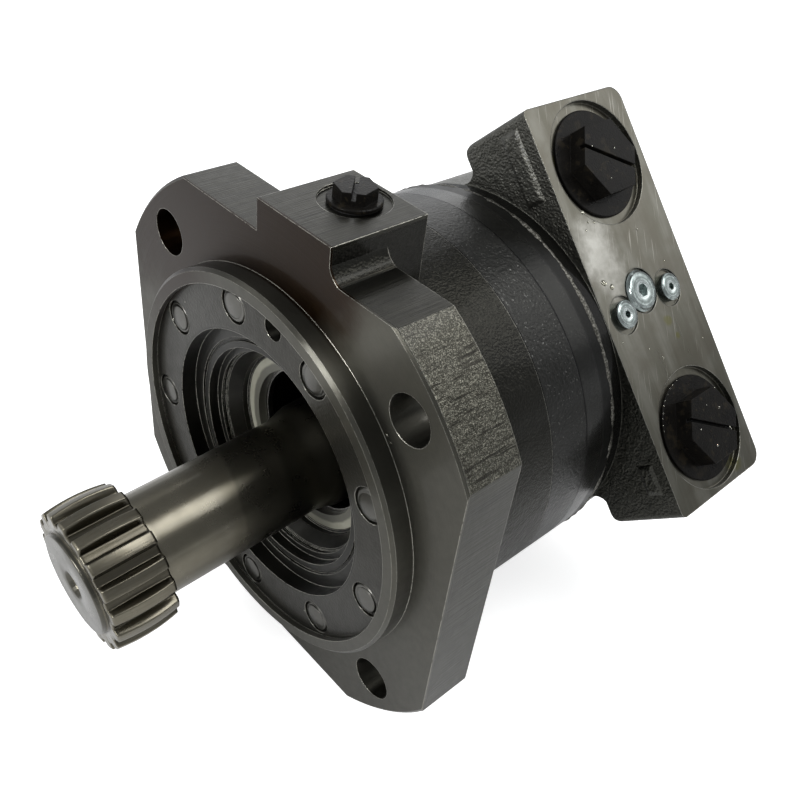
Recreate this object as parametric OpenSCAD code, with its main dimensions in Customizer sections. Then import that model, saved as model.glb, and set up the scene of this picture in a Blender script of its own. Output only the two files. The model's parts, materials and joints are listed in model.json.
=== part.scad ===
// Bearingless orbital hydraulic motor, lying down: the drive link points along +X and the
// case drain plug points up. The origin is the centre of the mounting face, on the shaft axis.
// Every piece is drawn with the shaft along its own z, then laid down by lay().

/* [Mounting flange] */
// Radius of the pilot that locates the motor
pilot_r = 63.5; // [62.5:0.1:64.5]
// Height of the pilot in front of the mounting face
pilot_h = 7; // [6:0.5:9]
// Width of the raised pilot ring
pilot_wall = 4.6; // [4.2:0.1:4.7]
// Height of the recess floor in front of the mounting face
floor_h = 4.4; // [3.5:0.1:5]
// Thickness of the flange plate
flange_t = 19; // [16:0.5:22]
// Radius of the turned ears
ear_r = 88.3; // [86:0.1:91]
// Distance from the axis to the four milled flats
flat_d = 75.6; // [73:0.1:77]
// Radius of the circle of mounting holes
mount_circle_r = 76.2; // [75.5:0.1:77]
// Radius of a mounting hole
mount_hole_r = 7.3; // [6.5:0.1:8]

/* [Drain block] */
// Height of the drain block's top above the axis
drain_top = 85; // [82:0.5:88]
// Left side of the drain block
drain_left = -8.9; // [-12:0.1:-7]
// Right side of the drain block
drain_right = 21; // [17:0.5:24]
// Rear of the drain block behind the mounting face
drain_rear = 32.4; // [29:0.2:36]
// Sideways place of the drain port
drain_x = 5; // [3:0.1:6]
// Place of the drain port behind the mounting face
drain_z = 21.1; // [20:0.1:21.6]
// Radius of the drain port's spotface
drain_spot_r = 10.2; // [9:0.1:10.6]
// Radius of the drain port's thread
drain_thread_r = 5.2; // [4.5:0.1:6]
// Radius of the passage from the recess floor to the drain port
drain_passage_r = 3.6; // [3:0.1:4]

/* [Front bore] */
// Radius of the mouth of the stepped bore
mouth_r = 44.5; // [44:0.1:45.5]
// Radius of the second step
step_r = 36.6; // [36:0.1:38]
// Radius of the third step
seat_r = 34.3; // [33.5:0.1:35]
// Radius of the narrow end of the tapered lead
throat_r = 31; // [30.8:0.1:32]
// Depth of the first ledge behind the mounting face
ledge_1 = 0.9; // [0.5:0.1:1.5]
// Depth of the second ledge
ledge_2 = 4.4; // [3.8:0.1:5]
// Depth of the third ledge
ledge_3 = 6.4; // [6:0.1:7]
// Depth where the tapered lead ends
taper_end = 10.5; // [9.5:0.1:11.5]
// Depth of the front face of the guide ring
ring_z = 12.7; // [12.2:0.1:13.5]
// Outer radius of the guide ring
ring_r = 30; // [29.5:0.1:30.3]
// Bore radius of the guide ring
ring_bore_r = 25; // [24.6:0.1:26]
// Thickness of the guide ring
ring_t = 3; // [2.5:0.1:4]
// Bore radius of the steel stop ring
stop_bore_r = 24.1; // [24:0.05:24.5]
// Thickness of the steel stop ring
stop_t = 2; // [1.5:0.1:3]
// Radius of the bore behind the rings
case_bore_r = 27; // [26:0.1:28.5]

/* [Body sections] */
// Outer radius of the housing, stator ring and manifold
body_r = 66; // [65:0.1:66.8]
// Distance from the mounting face to the first seam
housing_len = 54.6; // [52:0.2:58]
// Thickness of the stator ring
stator_t = 16.4; // [14:0.2:20]
// Thickness of the manifold plate
manifold_t = 13; // [12:0.2:16]
// Radius of the wear plate
wear_r = 44.6; // [44.2:0.1:45]
// Thickness of the wear plate
wear_t = 6; // [5:0.2:8]
// Bore radius of the wear plate
wear_bore_r = 22.5; // [21.5:0.1:24]
// Radius of the circle of section seals
seal_circle_r = 61.6; // [61.2:0.1:62]
// Section radius of a section seal
seal_r = 1.05; // [0.9:0.05:1.2]

/* [Rotor set] */
// Number of lobes on the rotor
lobes = 8; // [8:1:8]
// Distance between the rotor axis and the motor axis
eccentricity = 3.4; // [3.2:0.02:3.4]
// Radius of the circle of rollers
roller_circle_r = 37; // [36.8:0.05:37.2]
// Radius of a roller
roller_r = 6.4; // [6.2:0.02:6.5]
// Clearance of a roller in its pocket
roller_play = 0.05; // [0.03:0.01:0.1]
// Clearance between the rotor and the rollers
mesh_play = 0.06; // [0.04:0.01:0.12]
// Clearance at each end face of the rotor and rollers
face_play = 0.05; // [0.03:0.01:0.15]

/* [Drive link] */
// Number of teeth on both splines
teeth = 17; // [14:1:18]
// Greatest radius of the crowned output teeth
tip_r = 22.2; // [21.5:0.1:22.8]
// Root radius of the output teeth
root_r = 19.2; // [18.6:0.1:19.8]
// Length of the output teeth
tooth_len = 19.1; // [16:0.2:24]
// Drop of the crowned teeth from the middle to the ends
crown_drop = 0.9; // [0.3:0.1:1.2]
// Distance from the rotor's middle to the tip of the link
link_reach = 130.3; // [124:0.5:136]
// Radius of the raised boss on the tip
boss_r = 15.6; // [14:0.1:17]
// Height of the raised boss on the tip
boss_h = 1.4; // [0.8:0.1:2.2]
// Radius of the smooth shank
shank_r = 16; // [15:0.1:16.6]
// Radius of the thicker part inside the housing
collar_r = 18; // [17.2:0.1:18]
// Greatest radius of the inner crowned teeth
inner_tip_r = 19.2; // [18.8:0.1:19.6]
// Root radius of the inner teeth
inner_root_r = 16.8; // [16.4:0.1:17.2]
// Half the length of the inner teeth
inner_half = 7; // [6:0.1:7]
// Flank and tip clearance of the inner spline
spline_play = 0.5; // [0.45:0.05:0.7]
// Radius of the nose that carries the commutator
nose_r = 8; // [7:0.1:8.2]
// Angle that the link droops from the rotor axis at rest
droop = 3; // [2:0.1:3]

/* [Assembly bolts] */
// Number of assembly bolts
bolts = 9; // [9:1:9]
// Radius of the circle of bolts
bolt_circle_r = 52.9; // [52.6:0.1:53.2]
// Radius of a bolt
bolt_r = 5.4; // [5.2:0.05:5.5]
// Clearance of a bolt in its hole
bolt_play = 0.25; // [0.2:0.05:0.3]
// Width across the flats of a bolt head
bolt_head_w = 15.9; // [14:0.1:17]
// Height of a bolt head
bolt_head_h = 7; // [6:0.2:9]
// Thickness of a sealing washer
washer_t = 1.2; // [0.8:0.1:2]

/* [End cover] */
// Radius of the round part of the end cover
cover_r = 65; // [64:0.1:65.2]
// Thickness of the round part of the end cover
cover_t = 41; // [38:0.5:44]
// Start of the port bar behind the mounting face
bar_front = 90.2; // [89:0.1:92]
// Rear of the port bar behind the mounting face
bar_rear = 137.5; // [136:0.5:142]
// Distance from the axis to the port face
port_face = 65.3; // [64:0.1:67]
// Distance from the axis to the underside of the port bar
bar_floor = 36.6; // [35:0.2:38]
// Half the length of the port bar
bar_half = 67.8; // [66.5:0.1:70]
// Radius of the chamber that holds the commutator ring
chamber_r = 36; // [35:0.1:37]
// Depth of the chamber that holds the commutator ring
chamber_t = 12; // [11:0.2:14]

/* [Ports and plugs] */
// Distance of each port from the end of the port face
port_inset = 21.9; // [21.3:0.1:22.6]
// Place of the ports behind the mounting face
port_z = 114.4; // [113.5:0.1:115]
// Radius of a port's spotface
port_spot_r = 20.4; // [19.5:0.1:20.8]
// Radius of a port's thread
port_thread_r = 13.2; // [12.5:0.1:14]
// Depth of a port below the port face
port_depth = 21; // [18:0.5:23]
// Depth of a spotface
spot_t = 2; // [1.2:0.1:2.4]
// Radius of the passage behind each port
passage_r = 6; // [5:0.1:6.5]
// Radius of the flange of a port plug
plug_flange_r = 17.6; // [16.5:0.1:19]
// Thickness of the flange of a port plug
plug_flange_t = 1; // [0.8:0.1:2]
// Width across the flats of a port plug's head
plug_head_w = 22.3; // [21:0.1:24]
// Height of a port plug's head
plug_head_h = 6.2; // [5:0.1:8]
// Width of the slit across a plug's head
slit_w = 1.3; // [1:0.1:2.2]
// Depth of the slit across a plug's head
slit_t = 2.2; // [1.5:0.1:2.6]
// Clearance of a plug in its port
plug_play = 0.15; // [0.1:0.05:0.3]
// Radius of the head of the big socket plug
relief_head_r = 6.9; // [6.4:0.1:7.1]
// Radius of the head of a small socket plug
check_head_r = 4.6; // [4:0.1:4.7]
// Radius of a check ball
ball_r = 2.8; // [2.4:0.1:3]

/* [Hidden] */
$fn = 72;
eps = 0.01;
cut = 1;

// Directions round the shaft, counted from the right towards the top
ear_angles = [45, 135, 225, 315];
port_angle = 43.8;
drain_hole_angle = 85;
bolt_start = 25;
roller_start = 5;
orbit_rest = -90;

// Places along the shaft, all behind the mounting face
seam_a = housing_len;
seam_b = seam_a + stator_t;
seam_c = seam_b + manifold_t;
cover_rear = seam_c + cover_t;
port_d = bar_half - port_inset;
rotor_mid = seam_a + stator_t / 2;
recess_r = pilot_r - pilot_wall;
ring_seat_z = ring_z + ring_t + stop_t + 2 * face_play;
rollers = lobes + 1;
roller_pitch = 360 / rollers;
rotor_turn = (rollers * roller_start - orbit_rest) / lobes;
spline_turn = 75.5;
pin_gap = 0.1;

// Sealing groove that holds one section seal
groove_w = 2 * seal_r + 0.5;
groove_t = 2 * seal_r + 0.1;

// Stands the shaft's own z along +X, with the piece's x to the right and y up
module lay() { rotate([90, 0, 90]) children(); }

// A tube or disc between two depths behind the mounting face
module ring(r_out, r_in, front, rear) {
    difference() {
        translate([0, 0, -rear]) cylinder(r = r_out, h = rear - front);
        if (r_in > 0) translate([0, 0, -rear - cut]) cylinder(r = r_in, h = rear - front + 2 * cut);
    }
}

// A hole or a plain round bar between two depths behind the mounting face
module bore(r, front, rear) { translate([0, 0, -rear]) cylinder(r = r, h = rear - front); }

// Copies round the shaft
module around(count, start, r) {
    for (k = [0 : count - 1]) rotate([0, 0, start + k * 360 / count]) translate([r, 0, 0]) children();
}

// The frame of the port face: z is the face's normal, y runs along the bar, x to the rear
module at_port_face() { rotate([0, 0, port_angle]) rotate([0, 90, 0]) children(); }

// The frame of the drain port: z is up, out of the port
module at_drain() { translate([drain_x, 0, -drain_z]) rotate([-90, 0, 0]) children(); }

// A drilled hole between two points
module drill(p, q, r) {
    d = q - p;
    translate(p) rotate([0, acos(d[2] / norm(d)), atan2(d[1], d[0])]) cylinder(r = r, h = norm(d));
}

// Clearance holes for the assembly bolts
module bolt_holes(front, rear) {
    around(bolts, bolt_start, bolt_circle_r) bore(bolt_r + bolt_play, front, rear);
}

module seal_groove(face) {
    ring(seal_circle_r + groove_w / 2, seal_circle_r - groove_w / 2, face, face + groove_t);
}

// Mounting flange with its pilot, drain block and stepped bore
ear_chamfer = 0.8;
pilot_chamfer = 1;
pilot_relief = 0.6;
drain_fillet = 6;
fillet_bite = 0.25;
spot_depth = 0.8;

module flange_plate() {
    intersection() {
        union() {
            bore(ear_r, ear_chamfer, flange_t);
            translate([0, 0, -ear_chamfer])
                cylinder(r1 = ear_r, r2 = ear_r - ear_chamfer, h = ear_chamfer);
        }
        translate([-flat_d, -flat_d, -flange_t]) cube([2 * flat_d, 2 * flat_d, flange_t]);
    }
}

module drain_block() {
    width = drain_right - drain_left;
    translate([drain_left, 0, -drain_rear]) cube([width, drain_top, drain_rear]);
    // hollow fillet that runs from the block's right side down onto the flat
    hollow = drain_fillet - fillet_bite;
    difference() {
        translate([drain_right - cut, flat_d - cut, -flange_t])
            cube([drain_fillet, drain_fillet, flange_t]);
        translate([drain_right + hollow, flat_d + hollow, -flange_t - cut])
            cylinder(r = drain_fillet, h = flange_t + 2 * cut);
    }
}

module flange_body() {
    flange_plate();
    drain_block();
    bore(body_r, 0, housing_len);
    translate([0, 0, -eps]) cylinder(r = pilot_r, h = pilot_h - pilot_chamfer + eps);
    translate([0, 0, pilot_h - pilot_chamfer])
        cylinder(r1 = pilot_r, r2 = pilot_r - pilot_chamfer, h = pilot_chamfer);
}

module stepped_bore() {
    bore(mouth_r, -pilot_h - cut, ledge_1);
    bore(step_r, 0, ledge_2);
    bore(seat_r, 0, ledge_3);
    translate([0, 0, -taper_end])
        cylinder(r1 = throat_r, r2 = seat_r - 0.6, h = taper_end - ledge_3 + eps);
    bore(throat_r, taper_end - eps, ring_z - 0.3);
    bore(ring_r + pin_gap, taper_end, ring_seat_z);
    bore(case_bore_r, 0, housing_len + cut);
    bore(wear_r + pin_gap, housing_len - wear_t, housing_len + cut);
    // grooves turned into the first ledge and the second wall
    ring(step_r + 3.4, step_r + 2.2, 0, ledge_1 + 0.9);
    ring(seat_r + 0.9, 0, ledge_2 + 0.6, ledge_3 - 0.5);
}

module drain_port() {
    at_drain() {
        translate([0, 0, drain_top - spot_depth]) cylinder(r = drain_spot_r, h = spot_depth + cut);
        translate([0, 0, bolt_circle_r]) cylinder(r = drain_thread_r, h = drain_top);
    }
    rotate([0, 0, drain_hole_angle]) translate([bolt_circle_r + 1.2, 0, 0])
        bore(drain_passage_r, -pilot_h, drain_z);
}

module mounting_flange() {
    color("dimgray") lay() difference() {
        flange_body();
        translate([0, 0, floor_h]) cylinder(r = recess_r, h = pilot_h);
        ring(recess_r + pilot_relief, 0, -floor_h - pilot_relief, -floor_h);
        stepped_bore();
        drain_port();
        bolt_holes(-pilot_h, housing_len + cut);
        seal_groove_rear(housing_len);
        around(len(ear_angles), ear_angles[0], mount_circle_r) bore(mount_hole_r, -cut, flange_t + cut);
    }
}

// A seal groove cut forwards from a rear face
module seal_groove_rear(face) {
    ring(seal_circle_r + groove_w / 2, seal_circle_r - groove_w / 2, face - groove_t, face + cut);
}

// Rings in the front bore
nick_w = 1.2;

module guide_ring() {
    color("ivory") lay() difference() {
        ring(ring_r, ring_bore_r, ring_z, ring_z + ring_t);
        rotate([0, 0, 90]) translate([ring_r - nick_w, -nick_w / 2, -ring_z - nick_w])
            cube([2 * nick_w, nick_w, 2 * nick_w]);
    }
}

module stop_ring() {
    front = ring_z + ring_t + face_play;
    color("silver") lay() ring(ring_r, stop_bore_r, front, front + stop_t);
}

module wear_plate() {
    color("slategray") lay()
        ring(wear_r, wear_bore_r, housing_len - wear_t + face_play, housing_len - eps);
}

// Stator ring with a pocket for each roller
stator_bore_r = roller_circle_r + eccentricity - roller_r + eccentricity + 0.4;

module stator_ring() {
    color("dimgray") lay() difference() {
        ring(body_r, stator_bore_r, seam_a, seam_b);
        around(rollers, roller_start, roller_circle_r)
            bore(roller_r + roller_play, seam_a - cut, seam_b + cut);
        bolt_holes(seam_a - cut, seam_b + cut);
    }
}

module roller(k) {
    color("gainsboro") lay() rotate([0, 0, roller_start + (k - 1) * roller_pitch])
        translate([roller_circle_r, 0, 0]) bore(roller_r, seam_a + face_play, seam_b - face_play);
}

// Rotor: its outline keeps one distance from the path that a roller's centre takes past it,
// which is a circle with (lobes + 1) waves of the eccentricity on it
points_per_lobe = 60;
rotor_points = points_per_lobe * lobes;

function unit(a) = [cos(a), sin(a)];
function path_point(a) = roller_circle_r * unit(a) - eccentricity * unit(rollers * a);
function path_normal(a) =
    let (n = roller_circle_r * unit(a) - rollers * eccentricity * unit(rollers * a)) n / norm(n);
function rotor_point(a) = path_point(a) - (roller_r + mesh_play) * path_normal(a);

// The path turns sharply in each valley, so the points crowd together there
point_spread = sqrt((roller_circle_r - rollers * eccentricity) / (roller_circle_r + rollers * eccentricity));

function crowded(a) =
    let (lobe = round(a * lobes / 360), s = a * lobes - 360 * lobe)
    (360 * lobe + 2 * atan2(point_spread * sin(s / 2), cos(s / 2))) / lobes;

// Gap between two spline teeth: half angles at the root and at the tip
gap_root = 3.9;
gap_tip = 6.3;

function spline_gap(r_root, r_tip, grow) = [
    for (s = [-1, 1])
        let (w_root = s * (r_root * sin(gap_root) + grow), w_tip = s * (r_tip * sin(gap_tip) + grow))
        each s < 0 ? [[r_root, w_root], [(r_root + r_tip) / 2, (w_root + w_tip) / 2 - 0.1], [r_tip, w_tip]]
                   : [[r_tip, w_tip], [(r_root + r_tip) / 2, (w_root + w_tip) / 2 + 0.1], [r_root, w_root]]];

module on_rotor_axis() {
    translate([eccentricity * cos(orbit_rest), eccentricity * sin(orbit_rest), 0]) children();
}

module rotor_outline() {
    polygon([for (k = [0 : rotor_points - 1]) rotor_point(crowded((k + 0.5) * 360 / rotor_points))]);
}

// Tooth spaces of the inner spline, shared by the rotor; a tooth of the rotor fills a link gap
module rotor_spline_hole(front, rear) {
    hole_root = inner_root_r + spline_play;
    hole_tip = inner_tip_r + spline_play;
    tooth_half = 360 / teeth / 2;
    bore(hole_root, front, rear);
    for (k = [0 : teeth - 1]) rotate([0, 0, spline_turn + k * 360 / teeth])
        translate([0, 0, -rear]) linear_extrude(rear - front)
            polygon([
                [hole_root - 1, -hole_root * sin(tooth_half - gap_root) - spline_play],
                [hole_tip, -hole_tip * sin(tooth_half - gap_tip) - spline_play],
                [hole_tip, hole_tip * sin(tooth_half - gap_tip) + spline_play],
                [hole_root - 1, hole_root * sin(tooth_half - gap_root) + spline_play]]);
}

module rotor() {
    color("silver") lay() on_rotor_axis() difference() {
        translate([0, 0, -seam_b + face_play]) rotate([0, 0, rotor_turn])
            linear_extrude(stator_t - 2 * face_play) rotor_outline();
        rotor_spline_hole(seam_a - cut, seam_b + cut);
    }
}

// Drive link, drawn from the rotor's middle towards its tip
crown_steps = 8;
inner_crown = 0.45;
head_rear = link_reach - boss_h - tooth_len;
neck_r = inner_root_r - 1.5;
collar_start = inner_half + 7;
collar_end = rotor_mid - ring_z;
taper_len = 4;
nose_end = 30;
centre_r = 4.5;
centre_bottom_r = 2;
centre_depth = 5;

// Radius of the crowned tips at a share t of the half length
function crown(r, drop, t) = r - drop * t * t;

// Solid of revolution whose side is crowned, from one end of the teeth to the other
module crowned_blank(r, drop, front, rear) {
    middle = (front + rear) / 2;
    half = (front - rear) / 2;
    rotate_extrude() polygon(concat(
        [[0, rear]],
        [for (k = [-crown_steps : crown_steps])
            let (t = k / crown_steps) [crown(r, drop, t), middle + t * half]],
        [[0, front]]));
}

module toothed(r_tip, r_root, drop, front, rear) {
    difference() {
        crowned_blank(r_tip, drop, front, rear);
        for (k = [0 : teeth - 1]) rotate([0, 0, spline_turn + (k + 0.5) * 360 / teeth])
            translate([0, 0, rear - cut]) linear_extrude(front - rear + 2 * cut)
                polygon(spline_gap(r_root, r_tip + 1, 0));
    }
}

module link_shape() {
    difference() {
        union() {
            toothed(tip_r, root_r, crown_drop, link_reach - boss_h, head_rear);
            toothed(inner_tip_r, inner_root_r, inner_crown, inner_half, -inner_half);
            rotate_extrude() polygon([
                [0, -nose_end], [nose_r - 1.5, -nose_end], [nose_r, -nose_end + 1.5],
                [nose_r, -inner_half - 0.5], [neck_r, -inner_half + eps], [neck_r, collar_start - 3],
                [collar_r, collar_start], [collar_r, collar_end - taper_len / 2],
                [collar_r - 0.5, collar_end], [shank_r + 0.4, collar_end + taper_len],
                [shank_r, collar_end + taper_len + 1.5], [shank_r, head_rear + eps],
                [root_r - 0.8, head_rear + eps], [root_r - 0.8, link_reach - boss_h],
                [boss_r, link_reach - boss_h], [boss_r, link_reach - 0.4],
                [boss_r - 0.4, link_reach], [0, link_reach]]);
        }
        translate([0, 0, link_reach - centre_depth])
            cylinder(r1 = centre_bottom_r, r2 = centre_r, h = centre_depth + eps);
        translate([0, 0, link_reach - 2 * centre_depth])
            cylinder(r = centre_bottom_r, h = 2 * centre_depth);
    }
}

module drive_link() {
    color("gray") lay() on_rotor_axis() translate([0, 0, -rotor_mid]) rotate([droop, 0, 0]) link_shape();
}

// Manifold plate: each passage runs from a cell of the rotor set in to the commutator
cell_hole_r = 2.6;
cell_circle_r = 33.5;
valve_circle_r = 23.5;
slot_w = 4;
manifold_bore_r = 14;

module cell_passage() {
    mid = seam_b + manifold_t / 2;
    translate([cell_circle_r, 0, 0]) bore(cell_hole_r, seam_b - cut, mid + slot_w / 2);
    translate([valve_circle_r, 0, 0]) bore(cell_hole_r, mid - slot_w / 2, seam_c + cut);
    translate([valve_circle_r, -slot_w / 2, -mid - slot_w / 2])
        cube([cell_circle_r - valve_circle_r, slot_w, slot_w]);
}

module manifold_plate() {
    color("dimgray") lay() difference() {
        ring(body_r, manifold_bore_r, seam_b, seam_c);
        around(rollers, roller_start + roller_pitch / 2, 0) cell_passage();
        bolt_holes(seam_b - cut, seam_c + cut);
        seal_groove(seam_b - eps);
    }
}

// Commutator: a ring that orbits with the rotor inside the fixed commutator ring
commutator_r = 24;
commutator_bore_r = 10;
commutator_gap = 0.4;
lip_w = 3;
lip_t = 2;
lip_r = 16;

module commutator() {
    front = seam_c + face_play;
    rear = seam_c + chamber_t - face_play;
    color("lightsteelblue") lay() on_rotor_axis() difference() {
        ring(commutator_r, commutator_bore_r, front, rear);
        ring(lip_r + lip_w / 2, lip_r - lip_w / 2, rear - lip_t, rear + cut);
        ring(commutator_r - 3, commutator_r - 6, front - cut, front + lip_t);
    }
}

module commutator_seal() {
    rear = seam_c + chamber_t - face_play;
    color("peru") lay() on_rotor_axis()
        ring(lip_r + lip_w / 2 - pin_gap, lip_r - lip_w / 2 + pin_gap, rear - lip_t + pin_gap, rear);
}

module commutator_ring() {
    color("slategray") lay()
        ring(chamber_r - face_play, commutator_r + eccentricity + commutator_gap,
             seam_c + eps, seam_c + chamber_t - eps);
}

// End cover: a round section with the port bar across it
rear_corner_r = 5;
front_corner_r = 2;
under_corner_r = 4;
under_fillet = 5;
centre_chamber_r = 11;
centre_chamber_end = 118;
pocket_r = 10.5;
relief_t = 3.05;
relief_z = 111.1;
relief_thread_r = 5.4;
relief_proud = 0.9;
relief_depth = 24;
check_z = [99.3, 124.3];
check_t = [-1.45, 0.05];
check_thread_r = 3.3;
check_proud = 1.5;
check_depth = 17;
head_recess = 1;
head_gap = 0.6;
check_head_gap = 1.7;
plug_seal_w = 0.9;
plug_seal_t = 0.8;
socket_thread_t = 7;
seat_hole_r = 1.6;

// Outline of the port face, with small corners in front and larger ones behind
module bar_face() {
    len_x = bar_rear - bar_front;
    difference() {
        translate([bar_front, -bar_half]) square([len_x, 2 * bar_half]);
        for (s = [-1, 1]) {
            corner_cut(bar_front, s, front_corner_r, 1);
            corner_cut(bar_rear, s, rear_corner_r, -1);
        }
    }
}

// Takes the sharp corner off an outline and leaves a round one
module corner_cut(x, s, r, inward) {
    difference() {
        translate([x - (inward > 0 ? cut : r), s > 0 ? bar_half - r : -bar_half - cut])
            square([r + cut, r + cut]);
        translate([x + inward * r, s * (bar_half - r)]) circle(r = r);
    }
}

// Outline of the bar seen along the shaft, with its underside corners rounded
module bar_end() {
    difference() {
        translate([-bar_half, bar_floor]) square([2 * bar_half, port_face - bar_floor]);
        for (s = [-1, 1]) difference() {
            translate([s > 0 ? bar_half - under_corner_r : -bar_half - cut, bar_floor - cut])
                square([under_corner_r + cut, under_corner_r + cut]);
            translate([s * (bar_half - under_corner_r), bar_floor + under_corner_r])
                circle(r = under_corner_r);
        }
    }
}

module port_bar() {
    intersection() {
        at_port_face() translate([0, 0, bar_floor - cut]) linear_extrude(port_face) bar_face();
        rotate([0, 0, port_angle - 90]) translate([0, 0, -bar_rear - cut])
            linear_extrude(bar_rear - bar_front + 2 * cut) bar_end();
    }
}

// A round recess of one depth below the port face
module face_bore(x, y, r, depth) {
    translate([x, y, port_face - depth]) cylinder(r = r, h = depth + cut);
}

// Bores of one valve: recess for the plug's head, seal, thread, and a small hole below its seat
module valve_bore(x, y, recess_r, thread_r, depth) {
    face_bore(x, y, recess_r, head_recess);
    face_bore(x, y, thread_r + plug_seal_w + 0.1, head_recess + plug_seal_t);
    face_bore(x, y, thread_r + pin_gap, depth);
    face_bore(x, y, seat_hole_r, depth + 5);
}

module port_bores() {
    at_port_face() {
        for (s = [-1, 1]) {
            face_bore(port_z, s * port_d, port_spot_r, spot_t);
            face_bore(port_z, s * port_d, port_thread_r, port_depth);
        }
        valve_bore(relief_z, relief_t, relief_head_r + head_gap, relief_thread_r, relief_depth);
        for (k = [0, 1])
            valve_bore(check_z[k], check_t[k], check_head_r + check_head_gap, check_thread_r, check_depth);
    }
}

module cover_passages() {
    bottom = port_face - port_depth + 2;
    at_port_face() {
        drill([port_z, port_d - 4, bottom], [centre_chamber_end - centre_chamber_r, 6, 4], passage_r);
        drill([port_z - 4, -port_d + 4, bottom], [seam_c + chamber_t - 2, -17, 14], passage_r - 1.5);
    }
    bore(centre_chamber_r, seam_c, centre_chamber_end);
}

// Hollow corners between the round section and the underside of the bar, in flat steps
fillet_steps = 5;
fillet_back = 0.5;

module bar_fillets() {
    reach = cover_r + under_fillet;
    y = bar_floor - under_fillet;
    x = sqrt(reach * reach - y * y);
    sweep = 90 + atan2(y, x);
    arc = [for (k = [0 : fillet_steps])
        [x - fillet_bite, y + fillet_bite] + under_fillet * unit(90 + k * sweep / fillet_steps)];
    inner_x = x - 3 * under_fillet;
    rotate([0, 0, port_angle - 90]) translate([0, 0, -cover_rear + under_fillet])
        linear_extrude(cover_rear - under_fillet - bar_front - fillet_back)
            for (side = [0, 1]) mirror([side, 0])
                polygon(concat([[inner_x, bar_floor + 1]], arc, [[inner_x, y]]));
}

module end_cover() {
    color("darkslategray") lay() difference() {
        union() {
            bore(cover_r, seam_c, cover_rear - 1.5);
            translate([0, 0, -cover_rear]) cylinder(r1 = cover_r - 1.5, r2 = cover_r, h = 1.5 + eps);
            port_bar();
            bar_fillets();
        }
        bore(chamber_r, seam_c - cut, seam_c + chamber_t);
        cover_passages();
        port_bores();
        bolt_holes(seam_c - cut, bar_rear + cut);
        around(bolts, bolt_start, bolt_circle_r) bore(pocket_r, cover_rear, bar_rear + cut);
        seal_groove(seam_c - eps);
    }
}

// Rubber seals between the sections
module section_seals() {
    color("black") lay()
        for (z = [seam_a - groove_t / 2, seam_b + groove_t / 2, seam_c + groove_t / 2])
            translate([0, 0, -z]) rotate_extrude() translate([seal_circle_r, 0]) circle(r = seal_r, $fn = 24);
}

// Assembly bolts with their heads behind the end cover
bolt_end_chamfer = 0.7;

module assembly_bolts() {
    head_face = cover_rear + washer_t;
    color("darkgray") lay() around(bolts, bolt_start, bolt_circle_r) {
        bore(bolt_r, -floor_h + bolt_end_chamfer + 0.2, head_face + eps);
        translate([0, 0, floor_h - 0.2 - bolt_end_chamfer])
            cylinder(r1 = bolt_r, r2 = bolt_r - bolt_end_chamfer, h = bolt_end_chamfer);
        translate([0, 0, -head_face - bolt_head_h])
            cylinder(d = bolt_head_w / cos(30), h = bolt_head_h, $fn = 6);
    }
}

module seal_washers() {
    color("silver") lay() around(bolts, bolt_start, bolt_circle_r)
        ring(bolt_head_w / 2 + 1, bolt_r + pin_gap, cover_rear, cover_rear + washer_t);
}

// Plastic plug: threaded body, round flange and a hexagon head with a slit from flat to flat
plug_edge = 0.3;
plug_short = 5;

module shipping_plug(thread_r, depth, flange_r, flange_t, head_w, head_h) {
    head_r = head_w / 2 / cos(30);
    difference() {
        union() {
            translate([0, 0, -depth]) cylinder(r = thread_r, h = depth + eps);
            cylinder(r = flange_r, h = flange_t - plug_edge);
            translate([0, 0, flange_t - plug_edge])
                cylinder(r1 = flange_r, r2 = flange_r - plug_edge, h = plug_edge);
            translate([0, 0, flange_t - eps]) cylinder(r = head_r, h = head_h + eps, $fn = 6);
        }
        rotate([0, 0, -30]) translate([-head_r, -slit_w / 2, flange_t + head_h - slit_t])
            cube([2 * head_r, slit_w, slit_t + cut]);
    }
}

module port_plug(side) {
    color("black") lay() at_port_face() translate([port_z, side * port_d, port_face - spot_t])
        shipping_plug(port_thread_r - plug_play, port_depth - plug_short, plug_flange_r, plug_flange_t,
                      plug_head_w, plug_head_h);
}

drain_plug_len = 10;
drain_plug_flange_r = 7.6;
drain_plug_flange_t = 1;
drain_plug_head_w = 10.4;
drain_plug_head_h = 3.5;
drain_plug_turn = -16;
drain_seal_t = 0.5;

module drain_plug() {
    color("black") lay() at_drain() translate([0, 0, drain_top - spot_depth + drain_seal_t])
        rotate([0, 0, drain_plug_turn])
            shipping_plug(drain_thread_r - plug_play, drain_plug_len, drain_plug_flange_r,
                          drain_plug_flange_t, drain_plug_head_w, drain_plug_head_h);
}

module drain_plug_seal() {
    color("dimgray") lay() at_drain() translate([0, 0, drain_top - spot_depth])
        ring(drain_plug_flange_r - 0.4, drain_thread_r, -drain_seal_t, 0);
}

// Socket plugs: a round head with a bevelled rim and a hexagon drive, on a threaded body
module socket_plug(x, y, head_r, proud, thread_r, bevel, socket_r) {
    head_h = head_recess + proud;
    translate([x, y, port_face - head_recess]) difference() {
        union() {
            translate([0, 0, -socket_thread_t]) cylinder(r = thread_r, h = socket_thread_t + eps);
            cylinder(r = head_r, h = head_h - bevel);
            translate([0, 0, head_h - bevel]) cylinder(r1 = head_r, r2 = head_r - bevel, h = bevel);
        }
        translate([0, 0, head_h - 3]) cylinder(r = socket_r, h = 3 + cut, $fn = 6);
    }
}

module relief_plug() {
    color("gainsboro") lay() at_port_face()
        socket_plug(relief_z, relief_t, relief_head_r, relief_proud, relief_thread_r, 0.9, 2.3);
}

module check_plug(k) {
    color("gainsboro") lay() at_port_face()
        socket_plug(check_z[k], check_t[k], check_head_r, check_proud, check_thread_r, 0.3, 1.3);
}

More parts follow.
